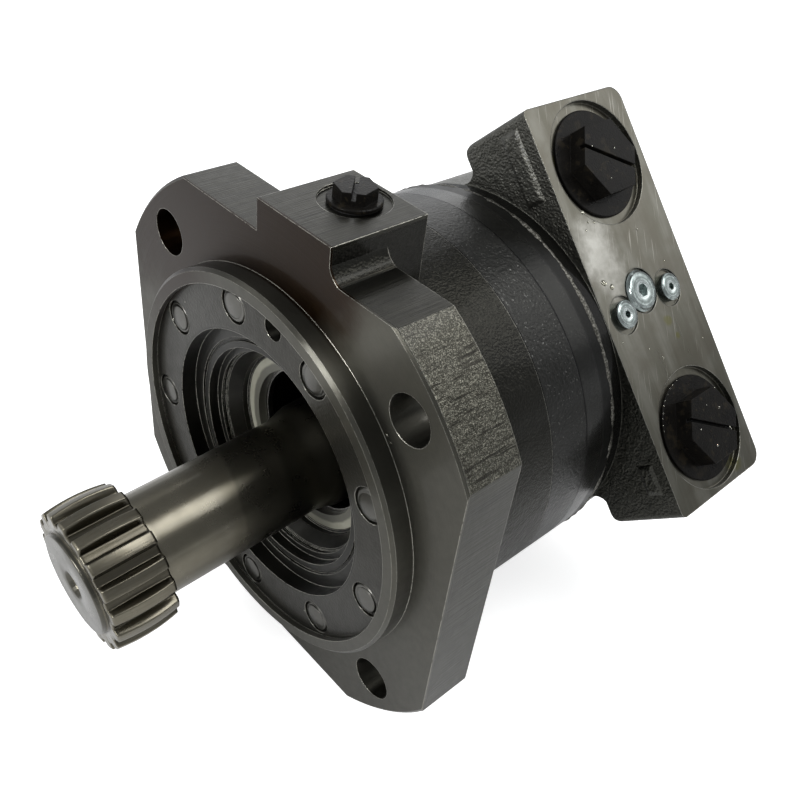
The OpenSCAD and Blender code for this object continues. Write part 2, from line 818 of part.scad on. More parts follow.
module check_ball(k) {
    color("silver") lay() at_port_face()
        translate([check_z[k], check_t[k], port_face - check_depth + ball_r]) sphere(r = ball_r, $fn = 48);
}

// Relief poppet on its spring under the big plug
poppet_r = relief_thread_r;
poppet_t = 6;
spring_wire = 0.8;
spring_turns = 4;
spring_steps = 12;

module relief_poppet() {
    color("silver") lay() at_port_face() translate([relief_z, relief_t, port_face - relief_depth]) {
        cylinder(r1 = poppet_r - 2, r2 = poppet_r, h = 2);
        translate([0, 0, 2 - eps]) cylinder(r = poppet_r, h = poppet_t - 2 + eps);
        cylinder(r = 2, h = poppet_t + 3);
    }
}

// Wire of the relief spring: a square helix of rings joined one to the next
function helix_ring(k, count, r, h) =
    let (a = k * 360 / spring_steps, z = h * k / count)
    [for (c = [[-1, -1], [1, -1], [1, 1], [-1, 1]])
        [(r + c[0] * spring_wire / 2) * cos(a), (r + c[0] * spring_wire / 2) * sin(a),
         z + c[1] * spring_wire / 2]];

module helix(r, h) {
    count = spring_turns * spring_steps;
    points = [for (k = [0 : count]) each helix_ring(k, count, r, h)];
    sides = [for (k = [0 : count - 1], s = [0 : 3])
        [4 * k + s, 4 * k + (s + 1) % 4, 4 * k + 4 + (s + 1) % 4, 4 * k + 4 + s]];
    polyhedron(points, concat([[3, 2, 1, 0]], sides, [[for (s = [0 : 3]) 4 * count + s]]), convexity = 6);
}

module relief_spring() {
    rest = port_face - relief_depth + poppet_t + spring_wire / 2 + pin_gap;
    top = port_face - head_recess - socket_thread_t - spring_wire / 2 - pin_gap;
    color("lightgray") lay() at_port_face() translate([relief_z, relief_t, rest])
        helix(poppet_r - 1.4, top - rest);
}

// Sealing rings under the heads of the socket plugs
module socket_plug_seals() {
    color("black") lay() at_port_face() {
        plug_seal(relief_z, relief_t, relief_thread_r);
        for (k = [0, 1]) plug_seal(check_z[k], check_t[k], check_thread_r);
    }
}

module plug_seal(x, y, thread_r) {
    translate([x, y, port_face - head_recess - plug_seal_t]) difference() {
        cylinder(r = thread_r + plug_seal_w, h = plug_seal_t);
        translate([0, 0, -cut]) cylinder(r = thread_r + eps, h = plug_seal_t + 2 * cut);
    }
}

mounting_flange();
guide_ring();
stop_ring();
wear_plate();
stator_ring();
roller(1);  // roller_1
roller(2);  // roller_2
roller(3);  // roller_3
roller(4);  // roller_4
roller(5);  // roller_5
roller(6);  // roller_6
roller(7);  // roller_7
roller(8);  // roller_8
roller(9);  // roller_9
rotor();
drive_link();
manifold_plate();
commutator();
commutator_seal();
commutator_ring();
end_cover();
section_seals();
assembly_bolts();
seal_washers();
port_plug(1);  // port_plug_a
port_plug(-1);  // port_plug_b
drain_plug();
drain_plug_seal();
relief_plug();
relief_spring();
relief_poppet();
check_plug(0);  // check_plug_a
check_plug(1);  // check_plug_b
check_ball(0);  // check_ball_a
check_ball(1);  // check_ball_b
socket_plug_seals();
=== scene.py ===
# %% [markdown]
# # An orbital hydraulic motor, fresh from the bench
#
# The motor lies on a white table with its toothed drive link towards us. The solids come from the
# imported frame, already at their real size and place, so this lesson is about looks: which surfaces
# were cast and which were cut, where oil lies, and how to build a finish for each. Everything is
# in metres. +X runs along the shaft towards the tip of the link and +Z is up.

# %% Load the frame
import json
import math
from functools import reduce

import bmesh
import bpy
import numpy as np
from mathutils import Matrix, Vector


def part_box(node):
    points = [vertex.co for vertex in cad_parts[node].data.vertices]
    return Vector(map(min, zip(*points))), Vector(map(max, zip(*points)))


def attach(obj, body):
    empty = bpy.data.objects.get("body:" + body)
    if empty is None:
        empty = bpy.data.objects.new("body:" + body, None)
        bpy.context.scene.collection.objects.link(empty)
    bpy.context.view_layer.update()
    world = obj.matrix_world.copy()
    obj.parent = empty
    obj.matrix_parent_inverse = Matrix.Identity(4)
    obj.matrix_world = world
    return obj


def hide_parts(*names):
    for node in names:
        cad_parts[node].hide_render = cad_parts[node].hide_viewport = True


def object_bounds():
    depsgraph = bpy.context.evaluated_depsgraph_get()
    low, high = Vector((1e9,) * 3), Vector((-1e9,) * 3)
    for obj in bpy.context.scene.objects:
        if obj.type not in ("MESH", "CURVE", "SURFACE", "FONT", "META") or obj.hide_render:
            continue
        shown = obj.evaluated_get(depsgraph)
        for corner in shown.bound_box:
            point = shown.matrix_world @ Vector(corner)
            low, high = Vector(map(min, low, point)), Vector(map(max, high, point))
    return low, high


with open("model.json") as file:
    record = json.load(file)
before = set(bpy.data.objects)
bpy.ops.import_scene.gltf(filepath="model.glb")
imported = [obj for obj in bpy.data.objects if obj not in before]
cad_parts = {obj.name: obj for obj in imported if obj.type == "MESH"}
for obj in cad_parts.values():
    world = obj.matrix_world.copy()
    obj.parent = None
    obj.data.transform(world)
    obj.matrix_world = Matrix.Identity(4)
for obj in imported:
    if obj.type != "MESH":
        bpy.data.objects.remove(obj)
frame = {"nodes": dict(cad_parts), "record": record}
MM = 0.001


def plain_box():
    """The whole object's box as two lists of three numbers."""
    low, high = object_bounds()
    return [list(map(float, low)), list(map(float, high))]


cad_box = plain_box()
print("box in mm:", [[round(v / MM, 1) for v in corner] for corner in cad_box])

# %% [markdown]
# ## The camera
#
# A camera is a place, three directions and a lens. It could be aimed by eye, but the photograph's
# own round edges give it away: the pilot ring, the mounting holes and the port bar only line up
# from one spot. That spot is 19 cm above the table, close to the motor, looking back and down
# along the shaft, with the camera rolled a little. The lens is a normal one, and a small shift
# puts the motor where the picture has it.

# %% Camera
CAMERA_PLACE = Vector((123.0, 163.06, 191.6)) * MM
CAMERA_RIGHT = Vector((-0.7383, 0.6669, 0.1003))
CAMERA_UP = Vector((-0.3730, -0.5277, 0.7630))
CAMERA_BACK = CAMERA_RIGHT.cross(CAMERA_UP)
LENS_MM = 40.17
LENS_SHIFT = (0.0098, 0.0179)

camera_data = bpy.data.cameras.new("camera")
camera_data.lens = LENS_MM
camera_data.sensor_width = 36.0
camera_data.shift_x, camera_data.shift_y = LENS_SHIFT
camera_data.clip_start = 0.005
camera = bpy.data.objects.new("camera", camera_data)
bpy.context.scene.collection.objects.link(camera)
turn = Matrix((CAMERA_RIGHT, CAMERA_UP, CAMERA_BACK)).transposed()
camera.matrix_world = Matrix.Translation(CAMERA_PLACE) @ turn.to_4x4()
bpy.context.scene.camera = camera
print("camera at", [round(v / MM, 1) for v in CAMERA_PLACE], "mm, lens", camera_data.lens, "mm")

# %% [markdown]
# ## A shorthand for shader arithmetic
#
# A finish here is a formula: how far a point is from the shaft, which way its surface faces, how
# grainy the iron is there. Placing every Math node by hand hides that formula, so this little
# class lets plain Python operators lay the nodes down. Every pattern starts from Object
# coordinates, which stay with the metal when a piece moves.

# %% Wires
class Wire:
    """One number in a shader. + - * / between wires lay down Math nodes."""

    def __init__(self, tree, socket):
        self.tree = tree
        self.socket = socket

    def math(self, operation, *others):
        node = self.tree.nodes.new("ShaderNodeMath")
        node.operation = operation
        for slot, value in zip(node.inputs, (self, *others)):
            connect(self.tree, value, slot)
        return Wire(self.tree, node.outputs[0])

    def __add__(self, other):
        return self.math("ADD", other)

    def __sub__(self, other):
        return self.math("SUBTRACT", other)

    def __mul__(self, other):
        return self.math("MULTIPLY", other)

    def __truediv__(self, other):
        return self.math("DIVIDE", other)

    def abs(self):
        return self.math("ABSOLUTE")

    def hypot(self, other):
        return (self * self + other * other).math("SQRT")

    def lowest(self, other):
        return self.math("MINIMUM", other)

    def highest(self, other):
        return self.math("MAXIMUM", other)

    def past(self, limit, soft):
        """0 below the limit and 1 above it, with a soft step between."""
        node = self.tree.nodes.new("ShaderNodeMapRange")
        node.interpolation_type = "SMOOTHSTEP"
        connect(self.tree, self, node.inputs["Value"])
        node.inputs["From Min"].default_value = limit - soft
        node.inputs["From Max"].default_value = limit + soft
        return Wire(self.tree, node.outputs["Result"])

    def flip(self):
        """1 minus the wire."""
        return self * -1.0 + 1.0


def connect(tree, value, slot):
    """Link a wire to a socket, or set a plain value on it."""
    if isinstance(value, Wire):
        tree.links.new(value.socket, slot)
    else:
        slot.default_value = value


# %% [markdown]
# ## Table and light
#
# Oiled iron is a dark mirror: it shows the lamps and little else. Large soft lamps give long
# gentle highlights, and the dark room between them gives the contrast that makes metal look like
# metal. The table and the far walls are white to the camera and in reflections, while the lamps
# stay at a plain level, so that a colour renders about as it is written and shadows stay soft.

# %% Table and lamps
scene = bpy.context.scene
scene.view_settings.view_transform = "Standard"
TABLE_Z = cad_box[0][2] - 0.05 * MM
TABLE_HALF = 1.6
TABLE_GLOW, TABLE_MIRRORED = 0.7, 0.1
SUBJECT = Vector((-30, 0, 0)) * MM


def lamp(name, place_mm, size_mm, power):
    """A square soft lamp at a place in mm, aimed at the middle of the motor."""
    data = bpy.data.lights.new(name, "AREA")
    data.energy = power
    data.size = size_mm * MM
    lamp_object = bpy.data.objects.new(name, data)
    bpy.context.scene.collection.objects.link(lamp_object)
    lamp_object.location = Vector(place_mm) * MM
    aim = SUBJECT - lamp_object.location
    lamp_object.rotation_euler = aim.to_track_quat("-Z", "Y").to_euler()


lamp("lamp_over", (-210, 210, 590), 340, 2.2)
lamp("lamp_front", (465, 0, 320), 180, 2.0)
lamp("lamp_left", (430, -420, 320), 380, 0.5)
lamp("lamp_right", (-600, 270, 440), 420, 0.8)
lamp("lamp_rear", (-390, -430, 330), 420, 0.8)


def seen_rays(tree):
    """1 for rays from the camera, for mirror rays, and for rays through glass."""
    path = tree.nodes.new("ShaderNodeLightPath")
    names = ("Is Camera Ray", "Is Glossy Ray", "Is Transmission Ray")
    return [Wire(tree, path.outputs[name]) for name in names]


def world_light(room, wall):
    """Strength = room everywhere; white for the camera, and near the horizon in reflections too."""
    world = bpy.data.worlds.new("room")
    scene.world = world
    world.use_nodes = True
    tree = world.node_tree
    tree.nodes.clear()
    direction = tree.nodes.new("ShaderNodeTexCoord")
    split = tree.nodes.new("ShaderNodeSeparateXYZ")
    tree.links.new(direction.outputs["Generated"], split.inputs[0])
    walls = Wire(tree, split.outputs["Z"]).past(0.10, 0.09).flip()
    camera_ray, mirror_ray, glass_ray = seen_rays(tree)
    seen = camera_ray.highest(mirror_ray.highest(glass_ray) * walls)
    shade = tree.nodes.new("ShaderNodeBackground")
    shade.inputs["Color"].default_value = (0.96, 0.98, 1.0, 1)
    connect(tree, seen * (wall - room) + room, shade.inputs["Strength"])
    out = tree.nodes.new("ShaderNodeOutputWorld")
    tree.links.new(shade.outputs[0], out.inputs["Surface"])


world_light(room=0.42, wall=1.0)


def table(z, half, glow, mirrored):
    """A flat white square at height z, which glows for the camera, and a little in reflections."""
    mesh = bpy.data.meshes.new("table")
    corners = [(-half, -half, z), (half, -half, z), (half, half, z), (-half, half, z)]
    mesh.from_pydata(corners, [], [(0, 1, 2, 3)])
    piece = bpy.data.objects.new("table", mesh)
    scene.collection.objects.link(piece)
    material = bpy.data.materials.new("table_white")
    material.use_nodes = True
    tree = material.node_tree
    shader = tree.nodes["Principled BSDF"]
    shader.inputs["Base Color"].default_value = (0.85, 0.85, 0.85, 1)
    shader.inputs["Roughness"].default_value = 0.9
    shader.inputs["Specular IOR Level"].default_value = 0.0
    shader.inputs["Emission Color"].default_value = (1.0, 1.0, 1.0, 1)
    camera_ray, mirror_ray, glass_ray = seen_rays(tree)
    in_mirrors = mirror_ray.highest(glass_ray) * mirrored
    connect(tree, (camera_ray * glow).highest(in_mirrors), shader.inputs["Emission Strength"])
    mesh.materials.append(material)


table(TABLE_Z, TABLE_HALF, TABLE_GLOW, TABLE_MIRRORED)
print("table at", round(TABLE_Z / MM, 2), "mm")

# %% [markdown]
# ## A material under construction
#
# A `Finish` starts a material and hands out the things that every formula needs: the place on the
# part, the distance from the shaft, the way the surface faces, clouds, grains, bumps and edges.

# %% Finish
BEVEL_SAMPLES = 6
FACET_LEAN = 0.04


class Finish:
    """A material under construction: its shader, and the places and patterns it is made from."""

    def __init__(self, name):
        self.material = bpy.data.materials.new(name)
        self.material.use_nodes = True
        self.tree = self.material.node_tree
        self.shader = self.tree.nodes["Principled BSDF"]
        coordinates = self.tree.nodes.new("ShaderNodeTexCoord")
        self.place = coordinates.outputs["Object"]
        self.x, self.y, self.z = self.split(self.place)
        geometry = self.tree.nodes.new("ShaderNodeNewGeometry")
        self.face = self.split(coordinates.outputs["Normal"])
        self.normal = geometry.outputs["Normal"]
        self.radius = self.y.hypot(self.z)
        self.bumps = None

    def split(self, socket):
        node = self.tree.nodes.new("ShaderNodeSeparateXYZ")
        self.tree.links.new(socket, node.inputs[0])
        return [Wire(self.tree, out) for out in node.outputs]

    def join(self, x, y, z):
        node = self.tree.nodes.new("ShaderNodeCombineXYZ")
        for value, slot in zip((x, y, z), node.inputs):
            connect(self.tree, value, slot)
        return node.outputs[0]

    def noise(self, size_mm, detail=3.0, rough=0.55, place=None):
        """Cloudy noise whose blotches are about size_mm across, from 0 to 1."""
        node = self.tree.nodes.new("ShaderNodeTexNoise")
        node.inputs["Scale"].default_value = 1.0 / (size_mm * MM)
        node.inputs["Detail"].default_value = detail
        node.inputs["Roughness"].default_value = rough
        self.tree.links.new(place or self.place, node.inputs["Vector"])
        return Wire(self.tree, node.outputs["Fac"])

    def cells(self, size_mm):
        """Voronoi cells about size_mm across, round scattered middles."""
        node = self.tree.nodes.new("ShaderNodeTexVoronoi")
        node.inputs["Scale"].default_value = 1.0 / (size_mm * MM)
        self.tree.links.new(self.place, node.inputs["Vector"])
        return node.outputs

    def grains(self, size_mm):
        """Rounded grains: the distance from each cell's middle, from 0 to about 1."""
        return Wire(self.tree, self.cells(size_mm)["Distance"])

    def facets(self, size_mm):
        """Sharp little grains, each with a number of its own from 0 to 1."""
        return self.split(self.cells(size_mm)["Color"])[0]

    def bump(self, height, depth_mm):
        """Stack one more bump, depth_mm deep where the height goes from 0 to 1."""
        node = self.tree.nodes.new("ShaderNodeBump")
        node.inputs["Distance"].default_value = depth_mm * MM
        connect(self.tree, height, node.inputs["Height"])
        if self.bumps:
            self.tree.links.new(self.bumps, node.inputs["Normal"])
        self.bumps = node.outputs["Normal"]

    def rounded_edges(self, radius_mm):
        """Soften the shading of sharp edges, as a casting's or a deburred part's are."""
        node = self.tree.nodes.new("ShaderNodeBevel")
        node.samples = BEVEL_SAMPLES
        node.inputs["Radius"].default_value = radius_mm * MM
        if self.bumps:
            self.tree.links.new(self.bumps, node.inputs["Normal"])
        self.bumps = node.outputs["Normal"]

    def edge_mask(self, radius_mm, gain):
        """1 on edges and 0 on flat ground: how far the bevelled normal leans from the true one.

        FACET_LEAN is taken off first, because the facets of a round surface lean a little too.
        """
        bevel = self.tree.nodes.new("ShaderNodeBevel")
        bevel.samples = BEVEL_SAMPLES
        bevel.inputs["Radius"].default_value = radius_mm * MM
        dot = self.tree.nodes.new("ShaderNodeVectorMath")
        dot.operation = "DOT_PRODUCT"
        self.tree.links.new(bevel.outputs["Normal"], dot.inputs[0])
        self.tree.links.new(self.normal, dot.inputs[1])
        lean = Wire(self.tree, dot.outputs["Value"]).flip() * gain - FACET_LEAN
        return lean.highest(0.0).lowest(1.0)

    def glint(self):
        """Painted highlights: broken bright lines along sharp edges, where they would catch the
        lamps.
        """
        return self.edge_mask(0.35, 6.0) * self.noise(1.5, detail=3.0).past(0.40, 0.12)

    def mix(self, amount, first, second):
        """A colour or number between first and second."""
        is_colour = isinstance(first, tuple) or getattr(first, "is_colour", False)
        node = self.tree.nodes.new("ShaderNodeMix")
        node.data_type = "RGBA" if is_colour else "FLOAT"
        slots = [s for s in node.inputs if s.enabled]
        connect(self.tree, amount, slots[0])
        for value, slot in ((first, slots[1]), (second, slots[2])):
            connect(self.tree, (*value, 1.0) if isinstance(value, tuple) else value, slot)
        wire = Wire(self.tree, [s for s in node.outputs if s.enabled][0])
        wire.is_colour = is_colour
        return wire

    def done(self, colour, roughness, metallic=1.0, **sockets):
        """Connect the finished formulas; other sockets are named with _ for each space."""
        connect(self.tree, (*colour, 1.0) if isinstance(colour, tuple) else colour,
                self.shader.inputs["Base Color"])
        connect(self.tree, roughness, self.shader.inputs["Roughness"])
        connect(self.tree, metallic, self.shader.inputs["Metallic"])
        for name, value in sockets.items():
            connect(self.tree, value, self.shader.inputs[name.replace("_", " ")])
        if self.bumps:
            self.tree.links.new(self.bumps, self.shader.inputs["Normal"])
        return self.material


def wear(node, material):
    """Give a CAD node its finish."""
    piece = frame["nodes"][node]
    for slot in range(len(piece.material_slots)):
        piece.material_slots[slot].material = material
    if not piece.material_slots:
        piece.data.materials.append(material)


print("shader shorthand ready")

# %% [markdown]
# ## Cast iron, cut iron
#
# The flange is one casting. Sand leaves its sides dark and pebbly; the cutter leaves the mounting
# face, the pilot, the stepped bore, the four flats and the drain block's top smoother, with fine
# tool marks; the rounded rims of the ears show coarse rows. Brown oil has dried on the upper front.
# One material holds it all: masks worked out from the place on the part say which ground was cut.
# Separate meshes would do it too, but the border would then have to follow every edge by hand.
# Turned ground gets anisotropy, which pulls each highlight out into a ray across the grooves, and
# a thin coat stands for the oil.

# %% Flange finish
CUT_COLOUR, CUT_SHADE = (0.084, 0.081, 0.067), (0.060, 0.058, 0.049)
BROWN_COLOUR, BROWN_SHADE = (0.010, 0.0038, 0.0008), (0.020, 0.011, 0.0045)
RECESS_COLOUR, RECESS_SHADE = (0.052, 0.050, 0.043), (0.026, 0.025, 0.021)
BORE_PAINTED_SHADE = (0.009, 0.009, 0.0075)
CAST_COLOUR, CAST_STAIN = (0.024, 0.023, 0.019), (0.036, 0.035, 0.029)
CAST_GRIT = (0.014, 0.014, 0.012)
SAWN_COLOUR, SAWN_SHADE = (0.052, 0.050, 0.040), (0.034, 0.032, 0.026)
SAWN_PAINTED_SPARKLE = (0.20, 0.195, 0.16)
MILLED_COLOUR, MILLED_SHADE = (0.036, 0.035, 0.028), (0.028, 0.027, 0.023)
GLINT_COLOUR = (0.42, 0.41, 0.36)
HOLE_AT = 53.88 * MM
HOLE_R = 7.3 * MM
PILOT_WALL = 5.2 * MM
BORE_R = 45.2 * MM
RECESS_LIP_X, RECESS_FLOOR_X = 4.9 * MM, 4.0 * MM
FRONT_X, PLATE_BACK_X, BORE_END_X = -0.7 * MM, -19.2 * MM, -53.0 * MM
EAR_RIM_R = 86.5 * MM
OIL_HEIGHT = 46 * MM
QUARTER_TURN = 0.25
flange_low, flange_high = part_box("mounting_flange")
FLAT = -flange_low[1]
DRAIN_TOP = flange_high[2]
PILOT_R = frame["record"]["mounts"][0]["dims"]["r_mm"] * MM


def turned_marks(finish, pitch_mm):
    """Fine rings round the shaft: noise that only sees the radius and the depth."""
    flat_place = finish.join(finish.x, finish.radius, 0.0)
    return finish.noise(pitch_mm, detail=2.0, place=flat_place)


def streak(finish, amount):
    """Highlights drawn out across grooves that run round the shaft."""
    turn = finish.tree.nodes.new("ShaderNodeVectorTransform")
    turn.vector_type = "VECTOR"
    turn.convert_from, turn.convert_to = "OBJECT", "WORLD"
    finish.tree.links.new(finish.join(0.0, finish.z * -1.0, finish.y), turn.inputs[0])
    finish.tree.links.new(turn.outputs[0], finish.shader.inputs["Tangent"])
    finish.shader.inputs["Anisotropic"].default_value = amount
    finish.shader.inputs["Anisotropic Rotation"].default_value = QUARTER_TURN


def flange_masks(f):
    """Masks: all cut ground, its milled flats, the sawn rims, the recess floor and the bore."""
    inside = f.radius.past(PILOT_R - PILOT_WALL, 0.05 * MM).flip()
    bore = f.radius.past(BORE_R, 0.4 * MM).flip()
    floor = f.x.past(RECESS_LIP_X, 0.05 * MM).flip()
    recess = inside * floor * bore.flip() * f.x.past(RECESS_FLOOR_X, 0.1 * MM)
    front = f.x.past(FRONT_X, 0.1 * MM)
    plate = f.x.past(PLATE_BACK_X, 0.1 * MM)
    flats = f.y.abs().highest(f.z.abs()).past(FLAT - 0.05 * MM, 0.02 * MM) * plate
    beside_block = f.z.past(FLAT + 0.3 * MM, 0.1 * MM).flip()
    top = f.z.past(DRAIN_TOP - 1.2 * MM, 0.1 * MM)
    from_hole = (f.y.abs() - HOLE_AT).hypot(f.z.abs() - HOLE_AT)
    hole = from_hole.past(HOLE_R + 0.3 * MM, 0.1 * MM).flip()
    milled = (flats * beside_block).highest(top) * front.flip()
    cut = front.highest(bore).highest(milled).highest(hole)
    rim = f.radius.past(EAR_RIM_R, 0.3 * MM) * plate * cut.flip()
    return cut * f.x.past(BORE_END_X, 0.5 * MM), milled, rim, recess, bore


def flange_colour(f, cut, milled, rim, recess, bore, stain, blotch, grit):
    """Sand-cast black, brown oil on the upper front, grey mill marks; painted shade, sparkle and
    edge highlights.
    """
    lines = f.noise(0.8, detail=3.0, place=f.join(f.x * 0.03, f.y, f.z))
    brown = (f.z - f.y.highest(0.0) * 1.3 + stain * 36 * MM).past(OIL_HEIGHT, 15 * MM)
    brown = brown * f.x.past(1.0 * MM, 0.5 * MM).flip().highest(f.y.past(-24 * MM, 12 * MM).flip())
    turned = f.mix(brown, f.mix(blotch, CUT_COLOUR, CUT_SHADE),
                   f.mix(blotch, BROWN_COLOUR, BROWN_SHADE))
    # Painted shade: the bore is painted darker than the recess floor, as it lies in shade.
    inner = f.mix(bore * 0.6, f.mix(blotch, RECESS_COLOUR, RECESS_SHADE), BORE_PAINTED_SHADE)
    flat = f.mix(lines.past(0.46, 0.14), MILLED_SHADE, MILLED_COLOUR)
    ground_and_painted_light = f.mix(milled, f.mix(recess.highest(bore), turned, inner), flat)
    cast = f.mix(grit, f.mix(stain, CAST_COLOUR, CAST_STAIN), CAST_GRIT)
    worn = f.edge_mask(0.6, 3.5) * 0.7
    colour = f.mix(cut.highest(worn), cast, ground_and_painted_light)
    rows = f.noise(0.8, detail=3.0, place=f.join(f.x * 0.07, f.y, f.z)).past(0.41, 0.07)
    # Painted highlights: bright specks on the sawn rims, where facets would catch the light.
    painted_sparkle = f.facets(0.24).past(0.70, 0.25) * rows
    sawn = f.mix(painted_sparkle, f.mix(rows, SAWN_SHADE, SAWN_COLOUR), SAWN_PAINTED_SPARKLE)
    # Painted highlights: bright broken lines along the flange's sharp edges.
    return f.mix(f.glint(), f.mix(rim, colour, sawn), GLINT_COLOUR)


def flange_finish():
    """Cast, cut, milled and sawn ground in one material."""
    f = Finish("flange_iron")
    cut, milled, rim, recess, bore = flange_masks(f)
    rough = cut.flip()
    lumps = f.noise(2.4, detail=5.0)
    grit = f.noise(0.42, detail=2.0)
    stain = f.noise(16.0, detail=5.0)
    blotch = f.noise(3.0, detail=5.0)
    saw = f.noise(1.1, detail=3.0, place=f.join(f.x * 0.10, f.y + f.x * 0.3, f.z + f.x * 0.3))
    f.bump((f.grains(0.75) * 0.5 + lumps) * rough * rim.flip(), 0.30)
    f.bump(saw * rim, 0.45)
    f.bump(f.facets(0.24) * rim, 0.05)
    f.bump(f.noise(0.9, detail=3.0) * recess, 0.10)
    f.bump(grit * (rim * 0.4 + rough * 0.16 + 0.02), 0.5)
    f.bump(f.noise(0.6, detail=3.0, place=f.join(f.x * 0.03, f.y, f.z)) * milled, 0.10)
    f.bump(turned_marks(f, 0.35) * cut, 0.022)
    f.bump(turned_marks(f, 1.6) * cut, 0.035)
    f.rounded_edges(0.45)
    colour = flange_colour(f, cut, milled, rim, recess, bore, stain, blotch, grit)
    roughness = f.mix(cut, f.mix(lumps, 0.30, 0.50), f.mix(blotch, 0.28, 0.42))
    streak(f, 0.9)
    return f.done(colour, roughness, 1.0, Coat_Weight=0.12, Coat_Roughness=0.12)


wear("mounting_flange", flange_finish())
print("flange: flats at", round(FLAT / MM, 1), "mm, block top at", round(DRAIN_TOP / MM, 1), "mm")

# %% [markdown]
# ## The dark sections and the end cover
#
# Stator ring and manifold are turned, then blackened; they look like dark satin with a film of
# oil and a scatter of dust. The end cover is rough casting all over, with one milled face for the
# ports. The masks for that face turn with it: its height is measured square to the port face.

# %% Section and cover finishes
port = frame["record"]["mounts"][4]
PORT_NORMAL = np.array(port["axis"])
PORT_FACE = float(np.dot(port["pos_m"], PORT_NORMAL))
PORT_ALONG = np.cross(np.array([1.0, 0.0, 0.0]), PORT_NORMAL)
BAR_FRONT = 90.2 * MM
BAND_R = (63.0 * MM, 66.5 * MM)
SEAMS = (-54.6, -71.0, -84.0)
MANIFOLD_REAR = -78.6
SECTION_COLOUR, SECTION_STAIN = (0.013, 0.013, 0.012), (0.026, 0.026, 0.0238)
DUST_COLOUR = (0.10, 0.10, 0.094)


def measure(f, axis):
    """How far a point lies along an axis that is square to the shaft."""
    return f.y * axis[1] + f.z * axis[2]


def section_finish():
    """Rough stator in front, smoother manifold behind, painted shade at its rear, dark joints where
    parts meet.
    """
    f = Finish("section_iron")
    stain = f.noise(11.0, detail=5.0)
    fine = f.x.past(SEAMS[1] * MM, 0.02 * MM)
    dust = f.noise(0.7, detail=1.0).past(0.70, 0.03)
    lines = [(f.x - place * MM).abs().past(0.28 * MM, 0.06 * MM).flip() for place in SEAMS]
    seam = reduce(Wire.highest, lines)
    f.bump((f.grains(1.0) * 0.5 + f.noise(1.3, detail=5.0)) * (fine * 0.75 + 0.25), 0.20)
    f.bump(f.noise(0.45, detail=2.0), 0.03)
    f.bump(turned_marks(f, 0.5), 0.014)
    f.bump(seam, -0.2)
    f.rounded_edges(0.35)
    colour = f.mix(stain, SECTION_COLOUR, SECTION_STAIN)
    colour = f.mix(dust * (fine * 0.7 + 0.3), colour, DUST_COLOUR)
    # Painted shade: the manifold's rear strip beside the end cover is darkened, and made rougher.
    rear_painted_shade = (f.x + stain * 1.5 * MM).past(MANIFOLD_REAR * MM, 0.7 * MM).flip()
    colour = f.mix(rear_painted_shade * 0.8, colour, (0.005, 0.005, 0.0045))
    colour = f.mix(seam, colour, (0.004, 0.004, 0.004))
    streak(f, 0.3)
    roughness = f.mix(fine, f.mix(stain, 0.20, 0.32), f.mix(stain, 0.30, 0.48)) + rear_painted_shade * 0.2
    return f.done(colour, roughness, 0.9, Coat_Weight=0.12, Coat_Roughness=0.16)


STAINS = ((-124.2, -62.9, 5.0), (-118.3, -9.6, 3.4), (-120.3, -15.5, 2.2), (-97.5, 50.5, 3.0))
OLIVE_DARK, OLIVE_LIGHT = (0.105, 0.101, 0.080), (0.158, 0.154, 0.130)
OLIVE_STAIN = (0.088, 0.080, 0.060)
PAINTED_HIGHLIGHT_BRIGHT, PAINTED_HIGHLIGHT_DULL = (0.46, 0.455, 0.42), (0.20, 0.195, 0.17)
POOL_YELLOW = (0.105, 0.100, 0.038)
SCRATCH_COLOUR = (0.36, 0.35, 0.31)


def port_face_colour(f, along, stain, blotch):
    """Olive grey streaks along the bar, a painted highlight patch, pools of yellow oil and
    scratches.
    """
    streaks = f.noise(5.0, detail=3.0, place=f.join(f.x, along * 0.10, 0.0))
    ground_and_painted_light = f.mix(streaks.past(0.52, 0.16), OLIVE_DARK, OLIVE_LIGHT)
    ground_and_painted_light = f.mix(stain.past(0.50, 0.14) * 0.6, ground_and_painted_light, OLIVE_STAIN)
    # Painted highlight: a bright cloudy patch on the port face beside the plugs, where a lamp's
    # reflection falls.
    from_painted_highlight = (f.x + 99 * MM).hypot((along - 18 * MM) * 0.6) + blotch * 9 * MM
    painted_highlight = from_painted_highlight.past(11 * MM, 5 * MM).flip()
    ground_and_painted_light = f.mix(painted_highlight, ground_and_painted_light, f.mix(blotch, PAINTED_HIGHLIGHT_BRIGHT, PAINTED_HIGHLIGHT_DULL))
    pools = []
    for x, place, size in STAINS:
        from_pool = (f.x - x * MM).hypot(along - place * MM) + blotch * size * MM
        pools.append(from_pool.past(size * MM, 0.2 * size * MM).flip())
    ground_and_painted_light = f.mix(reduce(Wire.highest, pools) * 0.8, ground_and_painted_light, POOL_YELLOW)
    slanted = f.join(f.x + along * 0.4, (along - f.x * 0.4) * 0.02, 0.0)
    scratch = f.noise(0.5, detail=1.0, place=slanted).past(0.69, 0.02)
    return f.mix(scratch * 0.5, ground_and_painted_light, SCRATCH_COLOUR), streaks


